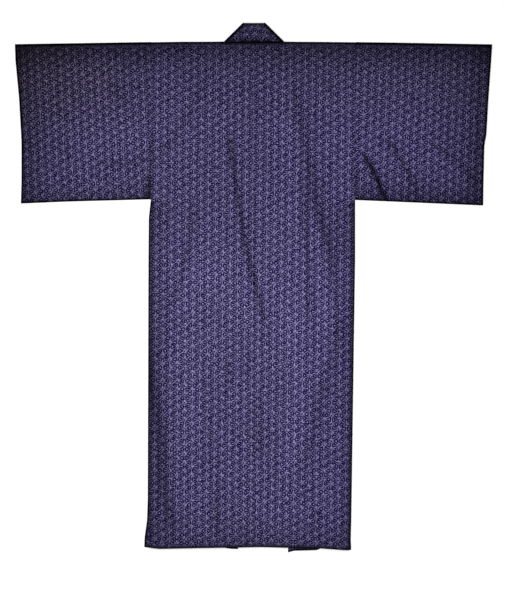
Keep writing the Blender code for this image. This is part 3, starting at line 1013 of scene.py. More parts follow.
class PrintStroke(Enum):
    """The short inked strokes that repeat at every corner of the lattice."""

    RIGHT_HEART = Stroke(x=7.0, y=12.0, half_width=2.0, strength=0.5)
    LEFT_HEART = Stroke(x=-7.0, y=12.0, half_width=2.0, strength=0.5)
    UPPER_BUD = Stroke(x=0.0, y=5.0, half_width=1.3, strength=0.9, stretch=2.0, degrees=30.0)
    RIGHT_BUD = Stroke(x=5.0, y=0.0, half_width=1.3, strength=0.9, stretch=2.0, degrees=30.0)


@dataclass(frozen=True)
class Patches:
    """Soft noise over a surface: its fineness, and the stretch that it is turned into."""

    scale: float
    detail: float
    low: float
    high: float
    least: float
    most: float

    def at(self, graph: Graph, place: Socket) -> Value:
        """The noise at a place."""
        noise = graph.noise(place, self.scale, self.detail)
        return graph.ramp(noise, self.low, self.high, self.least, self.most)


@dataclass(frozen=True)
class PrintedCotton:
    """Plain-weave cotton with a small hemp-leaf print: pale violet on a blue-black ground.

    The print's sizes are in millimetres. The four ramps read the place on the robe in metres and
    paint the light's cast: blue is stronger on its right, less on its left, changed at the shoulders.
    """

    name: str
    ground: Colour = (0.002, 0.0005, 0.028, 1.0)
    ink: Colour = (0.27, 0.23, 0.45, 1.0)
    repeat: float = 24.3
    spoke: Point = (0.4, 0.7)
    eyes: Tuple[Stroke, ...] = (
        Stroke(x=-1.0, y=-1.5, half_width=1.5, strength=1.0, stretch=2.0, degrees=60.0),
        Stroke(x=0.0, y=12.0, half_width=1.8, strength=0.5),
    )
    soft: float = 0.2
    even: float = 0.24
    wander: float = 3.6
    wander_scale: float = 12.0
    thread: float = 0.55
    weave_shade: float = 0.08
    weave_height: float = 0.5
    slub_height: float = 0.6
    slub_scale: float = 700.0
    uptake: Patches = Patches(scale=260.0, detail=1.0, low=0.34, high=0.66, least=0.06, most=1.94)
    fading: Patches = Patches(scale=6.0, detail=3.0, low=0.25, high=0.75, least=0.94, most=1.06)
    # Painted cast of the light: bluer on the right, greyer on the upper left.
    cool_across: Ramp = (-0.05, 0.25, 0.0, 0.05)
    cool_along: Ramp = (0.40, 0.62, 1.0, -0.4)
    warm_across: Ramp = (-0.60, -0.25, 0.20, 0.0)
    warm_along: Ramp = (0.40, 0.62, 0.0, 1.0)
    roughness: float = 0.9
    gloss: float = 0.02
    sheen: float = 0.004
    bump: float = 0.35
    bump_depth: float = 0.0003

    @property
    def row(self) -> float:
        """The distance between neighbouring lines of one family."""
        return self.repeat * math.sqrt(3.0) / 2.0

    def inked(self, away: Value, width: float, strength: float) -> Value:
        """The ink at a distance from a line or a dot, soft at its border."""
        return away.graph.ramp(away, width - self.soft, width + self.soft, strength, 0.0)

    def stroke(self, x: Value, y: Value, kind: Stroke) -> Value:
        """The ink of one kind of stroke, which sits at every corner of the lattice.

        Args:
            x: The place across the cloth, in millimetres.
            y: The place along it.
            kind: The stroke.

        Returns:
            The ink, from 0 to the stroke's strength.
        """
        graph, slant, nearest = x.graph, math.radians(kind.degrees), None
        half_row = self.repeat / 2.0
        for step_x, step_y in ((0.0, 0.0), (self.row, half_row)):
            across = graph.math("WRAP", x - (kind.x + step_x), self.row, -self.row)
            rise = graph.math("WRAP", y - (kind.y + step_y), half_row, -half_row)
            along = across * (math.cos(slant) / kind.stretch) + rise * (math.sin(slant) / kind.stretch)
            beside = rise * math.cos(slant) - across * math.sin(slant)
            square = along * along + beside * beside
            nearest = square if nearest is None else graph.math("MINIMUM", nearest, square)
        return self.inked(graph.math("SQRT", nearest), kind.half_width, kind.strength)

    def drawn(self, graph: Graph, place: Socket) -> Value:
        """The hemp-leaf print: three families of lines, the leaf's spokes, and the short strokes.

        Args:
            graph: The tree that the nodes go into.
            place: The place in the cloth, in millimetres.

        Returns:
            The ink, from 0 to 1.
        """
        parts = []
        for line in PrintLine:
            degrees, width, strength = line.value
            away = graph.math("PINGPONG", graph.dot(place, degrees + 90.0), self.row / 2.0)
            parts.append(self.inked(away, width, strength))
        for degrees in (0.0, 60.0, 120.0):
            beside, along = graph.dot(place, degrees + 90.0), graph.dot(place, degrees)
            away = graph.math("PINGPONG", beside, self.repeat / 4.0)
            number = graph.math("ROUND", graph.math("DIVIDE", beside, self.repeat / 2.0))
            shifted = graph.math("PINGPONG", along - number * self.row, self.row)
            there = graph.math("LESS_THAN", shifted, self.row * 2.0 / 3.0)
            parts.append(there * self.inked(away, *self.spoke))
        x, y = graph.dot(place, 0.0), graph.dot(place, 90.0)
        parts.extend(self.stroke(x, y, kind.value) for kind in PrintStroke)
        ink = parts[0]
        for part in parts[1:]:
            ink = graph.math("MAXIMUM", ink, part)
        for eye in self.eyes:
            ink = ink * (1.0 - self.stroke(x, y, eye))
        return ink

    def wandering(self, graph: Graph, place: Socket) -> Socket:
        """The place in the cloth with the print's small wanderings added, in millimetres.

        Args:
            graph: The tree that the nodes go into.
            place: The place in the cloth, in metres.

        Returns:
            The place at which the print is drawn, in millimetres.
        """
        cloud = graph.cloud(place, self.wander_scale, 1.0).outputs["Color"]
        centred = graph.sum(cloud, (-0.5, -0.5, -0.5))
        return graph.sum(graph.scaled(place, 1000.0), graph.scaled(centred, self.wander))

    def light_cast(self, graph: Graph) -> Value:
        """The painted cast of the light: how much blue the cloth shows, from its place on the robe.

        Args:
            graph: The tree that the nodes go into.

        Returns:
            Blue's share of the cloth's level.
        """
        spot = graph.add("ShaderNodeTexCoord").outputs["Object"]
        across, along = graph.dot(spot, 0.0), graph.dot(spot, 90.0)
        cool = graph.ramp(across, *self.cool_across) * graph.ramp(along, *self.cool_along)
        warm = graph.ramp(across, *self.warm_across) * graph.ramp(along, *self.warm_along)
        return cool + 1.0 - warm

    def make(self) -> Material:
        """Gives the material, which is made the first time that a piece asks for it.

        Returns:
            The material.
        """
        found = bpy.data.materials.get(self.name)
        if found is not None:
            return found
        graph = Graph(self.name)
        place = graph.add("ShaderNodeUVMap", uv_map="cloth").outputs[0]
        drawn = self.drawn(graph, self.wandering(graph, place))
        ink = graph.attribute("print") * (drawn - self.even) + self.even
        cloth = graph.mix(ink * self.uptake.at(graph, place), self.ground, self.ink)
        turns = 2.0 * math.pi * 1000.0 / self.thread
        warp = graph.math("SINE", graph.dot(place, 0.0) * turns)
        weft = graph.math("SINE", graph.dot(place, 90.0) * turns)
        weave = warp * weft
        # The points' painted light and shade, times random fading and the weave.
        level = graph.attribute("shade") * self.fading.at(graph, place) * (weave * self.weave_shade + 1.0)
        grey = graph.colour(level, level, level * self.light_cast(graph))
        slub = graph.noise(place, self.slub_scale, 3.0)
        height = weave * self.weave_height + slub * self.slub_height
        return graph.finish({
            "Base Color": graph.mix(1.0, cloth, grey, "MULTIPLY"),
            "Roughness": self.roughness,
            "Specular IOR Level": self.gloss,
            "Sheen Weight": self.sheen,
            "Sheen Roughness": 0.5,
            "Normal": graph.bumps(height, self.bump, self.bump_depth),
        })


class Cloth:
    """The middle surface of one cloth: points, faces, places in the flat cloth, painted light and shade, and
    the print's strength.
    """

    def __init__(self) -> None:
        """Starts empty."""
        self.points: List[Array] = []
        self.flat: List[Array] = []
        self.shades: List[Array] = []
        self.prints: List[Array] = []
        self.faces: List[Tuple[int, ...]] = []
        self.count = 0

    def row(self, x: Array, y: Array, z: Array, u: Array, v: Array,
            shade: Array, shown: Array = 1.0) -> Row:
        """Adds a row of points.

        Args:
            x: Places across the robe.
            y: Places along it.
            z: Heights.
            u: Places across the flat cloth.
            v: Places along the flat cloth.
            shade: The painted light and shade at each point, as a share of its full colour.
            shown: How clearly the print shows there.

        Returns:
            The points' numbers.
        """
        size = max(np.size(a) for a in (x, y, z, u, v, shade))
        full = [np.broadcast_to(np.asarray(a, float), (size,)) for a in (x, y, z, u, v, shade, shown)]
        self.points.append(np.stack(full[:3], 1))
        self.flat.append(np.stack(full[3:5], 1))
        self.shades.append(full[5])
        self.prints.append(full[6])
        self.count += size
        return list(range(self.count - size, self.count))

    def join(self, first: Row, second: Row) -> None:
        """Fills the strip between two rows of equal length."""
        self.faces.extend(zip(first, first[1:], second[1:], second))

    def join_uneven(self, first: Row, first_places: Sequence[float], second: Row,
                    second_places: Sequence[float]) -> None:
        """Fills the strip between two rows of different lengths with triangles.

        Args:
            first: The first row.
            first_places: How far along the row each of its points lies.
            second: The second row.
            second_places: The same for the second row.
        """
        i = j = 0
        while i < len(first) - 1 or j < len(second) - 1:
            first_next = first_places[i + 1] if i < len(first) - 1 else math.inf
            second_next = second_places[j + 1] if j < len(second) - 1 else math.inf
            if first_next <= second_next:
                self.faces.append((first[i], first[i + 1], second[j]))
                i += 1
            else:
                self.faces.append((first[i], second[j + 1], second[j]))
                j += 1

    def build(self, name: str, finish: Material) -> Piece:
        """Makes the piece, with its wall, its flat-cloth map and its material.

        Args:
            name: The piece's name.
            finish: Its material.

        Returns:
            The finished piece.
        """
        points = (np.vstack(self.points) - (CENTRE_X, CENTRE_Y, 0.0)) * MM
        mesh = bpy.data.meshes.new(name)
        mesh.from_pydata(points.tolist(), [], self.faces)
        piece = bpy.data.objects.new(name, mesh)
        bpy.context.scene.collection.objects.link(piece)
        corners = np.zeros(len(mesh.loops), np.int32)
        mesh.loops.foreach_get("vertex_index", corners)
        flat = (np.vstack(self.flat) * MM)[corners]
        mesh.uv_layers.new(name="cloth").data.foreach_set("uv", flat.astype(np.float32).ravel())
        for key, values in (("shade", self.shades), ("print", self.prints)):
            layer = mesh.attributes.new(key, "FLOAT", "POINT")
            layer.data.foreach_set("value", np.concatenate(values).astype(np.float32))
        bpy.ops.object.select_all(action="DESELECT")
        bpy.context.view_layer.objects.active = piece
        piece.select_set(True)
        bpy.ops.object.mode_set(mode="EDIT")
        bpy.ops.mesh.select_all(action="SELECT")
        bpy.ops.mesh.normals_make_consistent(inside=False)
        bpy.ops.object.mode_set(mode="OBJECT")
        wall = piece.modifiers.new("wall", "SOLIDIFY")
        wall.thickness, wall.offset = LAY.wall * MM, 0.0
        bpy.ops.object.modifier_apply(modifier=wall.name)
        bpy.ops.object.shade_smooth_by_angle(angle=math.radians(40.0))
        piece.data.materials.append(finish)
        piece.select_set(False)
        return piece


@dataclass
class Panel:
    """What every sewn piece of the robe has: its side, its finish and its steps."""

    side: Side
    finish: PrintedCotton
    step: float = 6.0
    turn_steps: int = 6

    def turn_angles(self) -> Array:
        """The angles at which a folded edge has its points, without its two ends."""
        return np.pi * np.arange(1, self.turn_steps) / self.turn_steps

    def publish(self, cloth: Cloth, name: str, node: str, slot: str) -> Piece:
        """Builds the piece, hangs it on the root and hides the part's node that it stands for.

        Args:
            cloth: The piece's middle surface.
            name: The piece's name.
            node: The part's node that it stands for.
            slot: Not used.

        Returns:
            The piece.
        """
        piece = cloth.build(name, self.finish.make())
        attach(piece, "root")
        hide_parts(node)
        LOG.info("%s: %d faces", name, len(piece.data.polygons))
        return piece


@dataclass
class BodyPanel(Panel):
    """A body panel: the back, the turn over the shoulder, and the front with its pleat."""

    front_columns: Tuple[int, int, int] = (22, 12, 24)
    top_rows: Tuple[float, ...] = (0.0, 2.5, 6.0)
    next_row: float = 11.0
    seam_columns: Tuple[float, ...] = (LAY.seam / 2, 1.0, 2.4)
    inner_start: float = 5.0
    inner_count: int = 15
    outer_count: int = 36
    side_columns: Tuple[float, ...] = (3.0, 1.0, 0.0)
    side_start: float = 6.0
    front_rows: Point = (694.0, 688.0)
    front_start: float = 680.0
    front_step: float = 9.0
    kensaki_step: float = 8.0
    pleat_top: Step = Step(650.0, 520.0)
    shoulder_inset: float = 1.0

    def front_row(self, y: float) -> Tuple[Array, Array, Array]:
        """One row of the front, from the side seam round the pleat to the inner edge.

        Args:
            y: The row's height.

        Returns:
            Places from the middle, heights, and lengths along the cloth.
        """
        half, inner, outer, edge, seam = LAY.front(self.side, y)
        end = seam + LAY.seam / 2 if y < LAY.kensaki_y else edge + LAY.seam
        under, middle, upper = self.front_columns
        angles = np.pi * np.arange(self.turn_steps) / self.turn_steps
        turn = LAY.turn
        last = outer - turn + (end - outer + turn) * np.arange(upper + 1) / upper
        parts = (
            (half + (inner + turn - half) * np.arange(under) / under, np.full(under, LAY.floor_level)),
            (inner + turn - turn * np.sin(angles), LAY.second_level - turn - turn * np.cos(angles)),
            (inner + turn + (outer - inner - 2 * turn) * np.arange(middle) / middle,
             np.full(middle, LAY.second_level)),
            (outer - turn + turn * np.sin(angles), LAY.third_level - turn - turn * np.cos(angles)),
            (last, LAY.over_pleat(last, inner)),
        )
        across, height = (np.concatenate(column) for column in zip(*parts))
        length = np.concatenate([[0.0], np.cumsum(np.hypot(np.diff(across), np.diff(height)))])
        folded = float(self.pleat_top.at(y))
        plain = half + (end - half) * length / length[-1]
        across = plain + (across - plain) * folded
        return across, LAY.floor_level + (height - LAY.floor_level) * folded, length

    def back(self, cloth: Cloth) -> Row:
        """Adds the back, with rows and columns close together at its edges.

        Args:
            cloth: What the back is added to.

        Returns:
            Its top row, outside the neck.
        """
        sign, start = self.side.value, LAY.neck_edge_y
        heights = np.concatenate([start - np.array(self.top_rows),
                                  np.arange(start - self.next_row, NEAR_HEM_Y, -self.step), HEM_ROWS])
        spread = np.linspace(self.inner_start, LAY.neck_half, self.inner_count + 1)
        inner, shares = np.append(self.seam_columns, spread[:-1]), np.linspace(0.0, 1.0, self.outer_count)
        rows = []
        for y in heights:
            half = float(LAY.half(sign, y))
            outer = LAY.neck_half + (half - self.side_start - LAY.neck_half) * shares
            x = sign * np.concatenate([inner, outer, half - np.array(self.side_columns)])
            height = LAY.trimmed(x, y, BACK_HEM)
            level, shade = LAY.upper(x, height)
            place = BACK_ASKEW[self.side].place(x, height)
            rows.append(cloth.row(x, height, level, *place, shade, LAY.printed(x, height)))
        for upper, lower in zip(rows, rows[1:]):
            cloth.join(lower, upper)
        return rows[0][len(inner):]

    def shoulder(self, cloth: Cloth, top: Row) -> Tuple[Row, float, Point]:
        """Adds the turn over the shoulder.

        Args:
            cloth: What the turn is added to.
            top: The back's top row, outside the neck.

        Returns:
            The turn's last row, the place along the cloth there, and how far the print is off.
        """
        x, y, z = cloth.points[0][-len(top):].T
        u, v = cloth.flat[0][-len(top):].T
        radius, reach = (z - LAY.floor_level) / 2.0, LAY.below(x, y) - self.shoulder_inset
        for angle in [*self.turn_angles(), np.pi]:
            row = cloth.row(x, y + reach * np.sin(angle), z - radius * (1 - np.cos(angle)), u,
                            v + reach * angle / 2.0, cloth.shades[0][-len(top):])
            cloth.join(top, row)
            top = row
        return top, float((y + reach * np.pi / 2.0).mean()), (float((u - x).mean()), float((v - y).mean()))

    def front(self, cloth: Cloth, top: Row, over: float, slip: Point) -> None:
        """Adds the front.

        Args:
            cloth: What the front is added to.
            top: The last row of the turn over the shoulder.
            over: The place along the cloth there, about which the front mirrors the back.
            slip: How far the print is off there, across and along.
        """
        sign = self.side.value
        half = float(LAY.half(sign, LAY.shoulder_y))
        places = (half - np.abs(cloth.points[0][-len(top):, 0])[::-1]) / (half - LAY.neck_half)
        heights = np.concatenate([self.front_rows, np.arange(self.front_start, NEAR_HEM_Y, -self.front_step),
                                  [LAY.kensaki_y, LAY.kensaki_y - self.kensaki_step], HEM_ROWS])
        upper = top[::-1]
        for number, y in enumerate(np.sort(heights)[::-1]):
            across, level, length = self.front_row(float(y))
            x = sign * across
            height = LAY.trimmed(x, y, FRONT_HEM)
            u = sign * (float(LAY.half(sign, y)) - length) + slip[0]
            v = 2.0 * over - height + slip[1]
            row = cloth.row(x, height, level, u, v, LAY.front_shade(x, height, length))
            if number:
                cloth.join(upper, row)
            else:
                cloth.join_uneven(upper, places, row, length / length[-1])
            upper = row

    def build(self) -> Piece:
        """Builds the panel.

        Returns:
            The panel, as one piece.
        """
        cloth = Cloth()
        self.front(cloth, *self.shoulder(cloth, self.back(cloth)))
        name = self.side.name.lower()
        piece = self.publish(cloth, f"robe_body_{name}", f"body_{name}", "body_cloth")
        return piece


@dataclass
class OverlapPanel(Panel):
    """An overlap panel, from its seam on the front to the collar seam or its free edge."""

    columns: int = 24
    step: float = 9.0
    top_y: float = 455.0
    collar_end_y: float = 20.0

    def build(self) -> Piece:
        """Builds the panel.

        Returns:
            The panel, as one piece.
        """
        sign, cloth, previous = self.side.value, Cloth(), None
        end_y = self.collar_end_y
        heights = np.concatenate([np.arange(self.top_y, end_y + 10.0, -self.step),
                                  [end_y + 1.0, end_y - 1.0],
                                  np.arange(end_y - 10.0, NEAR_HEM_Y, -self.step), HEM_ROWS])
        for y in heights:
            _, inner, _, edge, seam = LAY.front(self.side, float(y))
            start, end = seam - LAY.seam / 2, edge + (LAY.seam if y > self.collar_end_y else 0.0)
            across = start + (end - start) * np.linspace(0.0, 1.0, self.columns + 1)
            x = sign * across
            height = LAY.trimmed(x, y, FRONT_HEM)
            shade = LAY.front_shade(x, height, across - end)
            row = cloth.row(x, height, LAY.over_pleat(across, inner), x, -height, shade)
            if previous is not None:
                cloth.join(previous, row)
            previous = row
        name = self.side.name.lower()
        piece = self.publish(cloth, f"robe_okumi_{name}", f"okumi_{name}", "body_cloth")
        return piece


@dataclass
class Sleeve(Panel):
    """A sleeve: upper and lower cloth, closed at the top, the bottom and part of both ends."""

    lean_degrees: float = 2.3
    top_y: float = 696.0
    bottom_y: float = 245.0
    seam_bottom_y: float = 250.0
    mouth_bottom_y: float = 425.0
    armhole_bottom_y: float = 318.0
    turned_over: float = 1392.0
    # Painted shade of the lower cloth: a softened copy of the upper cloth's painted light and shade.
    lower_shade: float = 0.9
    columns: int = 62
    rows: int = 70

    @staticmethod
    def shares(count: int) -> Array:
        """Shares from 0 to 1, close together at both ends."""
        return np.concatenate([[0.0, 0.004, 0.01], np.linspace(0.02, 0.98, count), [0.99, 0.996, 1.0]])

    def place(self, column: Array, part: float) -> Tuple[Array, Array, float]:
        """Where points of the sleeve lie.

        Args:
            column: Shares of the sleeve's width, from the body out.
            part: The share of its depth, from the top down.

        Returns:
            Places across the robe and along it, and the row's plain height.
        """
        sign = self.side.value
        plain = self.top_y + (self.bottom_y - self.top_y) * part
        inset = LAY.turn + LAY.wall / 2
        inner = float(LAY.half(sign, max(plain, self.seam_bottom_y))) + LAY.seam
        outer = float(LAY.sleeve_end(sign, plain))
        inner += inset if plain < self.armhole_bottom_y else 0.0
        outer -= inset if plain < self.mouth_bottom_y else 0.0
        x = sign * (inner + (outer - inner) * column)
        top = read(SHOULDER_LINE, "x", "y", x) - inset
        bottom = read(SLEEVE_BOTTOMS, "x", "y", x) + inset
        return x, top + (bottom - top) * part, plain

    def flat(self, x: Array, y: Array, ply: Ply) -> Pair:
        """The place in the flat cloth, which hangs a little askew of the body's.

        Args:
            x: Places across the robe.
            y: Places along it.
            ply: Which cloth of the sleeve it is.

        Returns:
            Places across and along the flat cloth.
        """
        sign, lean = self.side.value, math.radians(self.lean_degrees)
        x, y = SLEEVE_ASKEW[self.side].place(x, y)
        u = x * math.cos(lean) - sign * y * math.sin(lean)
        v = sign * x * math.sin(lean) + y * math.cos(lean)
        return sign * u, sign * (v if ply is Ply.UPPER else self.turned_over - v)

    def plies(self, cloth: Cloth) -> Tuple[List[Row], List[Row]]:
        """Adds the upper and the lower cloth.

        Args:
            cloth: What they are added to.

        Returns:
            The rows of the upper cloth and of the lower one.
        """
        columns, upper, lower = self.shares(self.columns), [], []
        for part in self.shares(self.rows):
            x, y, _ = self.place(columns, part)
            level, shade = LAY.upper(x, y)
            edge = (columns == 0.0) | (columns == 1.0) | (part in (0.0, 1.0))
            level = np.where(edge, LAY.second_level, level)
            over, under = self.flat(x, y, Ply.UPPER), self.flat(x, y, Ply.LOWER)
            upper.append(cloth.row(x, y, level, *over, shade, LAY.printed(x, y)))
            # The lower cloth takes a softened copy of the painted shade.
            lower.append(cloth.row(x, y, LAY.floor_level, *under, self.lower_shade * np.sqrt(shade)))
        for first, second in zip(upper, upper[1:]):
            cloth.join(first, second)
        for first, second in zip(lower, lower[1:]):
            cloth.join(second, first)
        return upper, lower

    def build(self) -> Piece:
        """Builds the sleeve.

        Returns:
            The sleeve, as one piece.
        """
        sign, cloth = self.side.value, Cloth()
        upper, lower = self.plies(cloth)
        points, flat, shades = np.vstack(cloth.points), np.vstack(cloth.flat), np.concatenate(cloth.shades)

        def turned(number: int, dx: float, dy: float) -> Row:
            """Adds the points round a folded edge, from the upper cloth to the lower one.

            Args:
                number: The upper cloth's point.
                dx: How the edge faces, across the robe.
                dy: How it faces, along the robe.

            Returns:
                The new points' numbers.
            """
            x, y, _ = points[number]
            angles = self.turn_angles()
            out, gone = LAY.turn * np.sin(angles), LAY.turn * angles
            level = LAY.second_level - LAY.turn + LAY.turn * np.cos(angles)
            u, v = flat[number]
            return cloth.row(x + dx * out, y + dy * out, level, u + dx * gone, v + dy * gone, shades[number])

        def close(high: Row, low: Row, arcs: List[Row]) -> None:
            """Fills the fold between the edges of the upper and the lower cloth.

            Args:
                high: The upper cloth's edge.
                low: The lower cloth's edge.
                arcs: The points between them, for each point of the edges.
            """
            rows = [[a] + arc + [b] for a, arc, b in zip(high, arcs, low)]
            for first, second in zip(rows, rows[1:]):
                cloth.join(first, second)

        diagonal = math.sqrt(0.5)
        close(upper[0], lower[0], [turned(n, 0.0, 1.0) for n in upper[0]])
        armhole_corner = turned(upper[-1][0], -sign * diagonal, -diagonal)
        mouth_corner = turned(upper[-1][-1], sign * diagonal, -diagonal)
        bottom = [armhole_corner] + [turned(n, 0.0, -1.0) for n in upper[-1][1:-1]] + [mouth_corner]
        close(upper[-1], lower[-1], bottom)
        heights = [self.place(np.zeros(1), part)[2] for part in self.shares(self.rows)]
        for column, limit, corner, out in ((0, self.armhole_bottom_y, armhole_corner, -sign),
                                           (-1, self.mouth_bottom_y, mouth_corner, sign)):
            shut = [i for i, height in enumerate(heights) if height < limit]
            arcs = [turned(upper[i][column], out, 0.0) for i in shut[:-1]] + [corner]
            close([upper[i][column] for i in shut], [lower[i][column] for i in shut], arcs)
        name = self.side.name.lower()
        piece = self.publish(cloth, f"robe_sleeve_{name}", f"sleeve_{name}", "sleeve_cloth")
        return piece


@dataclass
class Collar(Panel):
    """The collar: a band folded lengthwise, down each front and turned over at the neck corners."""

    width: float = 55.0
    end_y: float = 20.0
    top_y: float = 754.6
    seam_y: float = 698.95
    corner_inset: float = 1.5
    free_drop: float = 2.0
    lean: Step = Step(600.0, 730.0)
    first_y: float = 30.0
    last_y: float = 650.0
    step: float = 10.0
    neck_steps: int = 24
    layers: int = 14
    fold_depth: float = 0.5
    # Painted shade: the band's upper layer is painted darker than its lower one, with a dark line and a
    # wider darkening painted along its rims.
    under_shade: float = 0.85
    upper_shade: float = 0.44
    seam_rim: float = 1.0
    free_rim: float = 1.6
    slant_rim: float = 2.0
    rim: float = 0.02
    rim_line: float = 0.76
    rim_line_edge: Step = Step(1.5, 5.5)
    rim_wide: float = 0.22
    rim_wide_edge: Step = Step(0.0, 20.0)

    @property
    def low(self) -> float:
        """The height of the band's middle where it lies on the floor."""
        return (LAY.floor_level + LAY.second_level) / 2

    def corner(self, sign: int) -> Tuple[Point, Point]:
        """The seam's end and the free edge's end of the slanting fold at the neck's corner."""
        return ((sign * (LAY.neck_half - self.corner_inset), self.seam_y),
                (sign * (LAY.neck_half - self.width - 1.0), self.top_y - self.free_drop))

    def between(self, first: Sequence[Point], last: Sequence[Point], share: float) -> List[Point]:
        """The ends of a cross line part of the way from one cross line to another."""
        return [tuple(a + (b - a) * share for a, b in zip(p, q)) for p, q in zip(first, last)]

    def down_front(self, sign: int) -> List[Station]:
        """The band's cross lines on one side, from its lower end up and round the neck's corner.

        Args:
            sign: The side's sign along X.

        Returns:
            Each cross line's seam point, free point, level and normal.
        """
        name, rise = Side(sign).name.lower() + "_edge", self.top_y - self.seam_y - 3.0
        found = []
        heights = np.arange(self.first_y, self.last_y - self.step, self.step)
        for y in [self.end_y + 1.0, *heights, self.last_y]:
            seam, lean = float(read(FRONTS, "y", name, y)), float(self.lean.at(y)) * rise
            found.append(((sign * seam, y), (sign * (seam - self.width), y + lean), self.low, UPWARD))
        seam, free = self.corner(sign)
        before = found[-1][:2]
        for share in (0.25, 0.5, 0.75):
            found.append((*self.between(before, (seam, free), share), self.low, UPWARD))
        run_x, run_y = free[0] - seam[0], free[1] - seam[1]
        length = math.hypot(run_x, run_y)
        out = (sign * abs(run_y) / length, abs(run_x) / length)
        for angle in np.pi * np.arange(self.turn_steps + 1) / self.turn_steps:
            reach, level = LAY.pitch * math.sin(angle), self.low + LAY.pitch * (1 - math.cos(angle))
            ends = [(p[0] + out[0] * reach, p[1] + out[1] * reach) for p in (seam, free)]
            normal = (-out[0] * math.sin(angle), -out[1] * math.sin(angle), math.cos(angle))
            found.append((*ends, level, normal))
        return found

    def stations(self) -> List[Station]:
        """The band's cross lines from the left end, over the back of the neck, to the right end.

        Returns:
            Each cross line's seam point, free point, level and normal.
        """
        left, right = self.down_front(-1), self.down_front(1)
        high, across = self.low + 2 * LAY.pitch, []
        for share in np.arange(1, self.neck_steps) / self.neck_steps:
            across.append((*self.between(left[-1][:2], right[-1][:2], share), high, DOWNWARD))
        return left + across + right[::-1]

    def slant_near(self, x: Array, y: Array) -> Array:
        """How far inside the slanting fold at the neck's corner a place lies.

        Args:
            x: Places across the robe.
            y: Places along it.

        Returns:
            The distance, which is large below the corner.
        """
        seam, free = self.corner(1)
        run = (free[0] - seam[0], free[1] - seam[1])
        away = ((np.abs(x) - seam[0]) * run[1] - (y - seam[1]) * run[0]) / math.hypot(*run)
        return np.where(y > self.seam_y - self.step, -away, FAR)

    def build(self) -> Piece:
        """Builds the collar.

        Returns:
            The collar, as one piece.
        """
        cloth, previous, gone, last = Cloth(), None, 0.0, None
        angles, shares = self.turn_angles(), np.linspace(0.0, 1.0, self.layers + 1)
        layer = np.full(len(shares), LAY.turn)
        rise = np.concatenate([-layer, -LAY.turn * np.cos(angles), layer])
        for seam, free, level, normal in self.stations():
            run = np.array(free) - np.array(seam)
            length = float(np.hypot(*run))
            along = run / length
            middle = (np.array(seam) + np.array(free)) / 2
            gone += 0.0 if last is None else float(np.hypot(*(middle - last)))
            last = middle
            flat = length - LAY.turn - self.fold_depth
            steps = flat * shares
            out = np.concatenate([steps, flat + LAY.turn * np.sin(angles), steps[::-1]])
            x = seam[0] + along[0] * out + normal[0] * rise
            y = seam[1] + along[1] * out + normal[1] * rise
            across = np.concatenate([steps, flat + LAY.turn * angles, 2 * (flat + 1.0) - steps[::-1]])
            # Painted shade of the band's layers and of its rims.
            shown = self.upper_shade if level > self.low + 0.01 else self.under_shade
            near = np.minimum(out - self.seam_rim, length - out - self.free_rim)
            near = np.minimum(near, self.slant_near(x, y) - self.slant_rim)
            rim = self.rim + self.rim_line * self.rim_line_edge.at(near)
            rim += self.rim_wide * self.rim_wide_edge.at(near)
            row = cloth.row(x, y, level + normal[2] * rise, across, gone, shown * rim)
            if previous is not None:
                cloth.join(previous, row)
            previous = row
        piece = self.publish(cloth, "robe_collar", "collar", "collar_cloth")
        return piece


@dataclass(frozen=True)
class Thread:
    """Indigo cotton sewing thread, softly twisted."""

    name: str = "dark_thread"
    pale: Colour = (0.090, 0.078, 0.190, 1.0)
    dark: Colour = (0.030, 0.024, 0.085, 1.0)
    roughness: float = 0.75
    twist_scale: float = 2400.0

    def make(self) -> Material:
        """Makes the material.

        Returns:
            The material.
        """
        graph = Graph(self.name)
        twist = graph.noise(graph.add("ShaderNodeTexCoord").outputs["Object"], self.twist_scale, 2.0)
        return graph.finish({
            "Base Color": graph.mix(twist, self.dark, self.pale),
            "Roughness": self.roughness,
            "Normal": graph.bumps(twist, 0.4, 0.0001),
        })


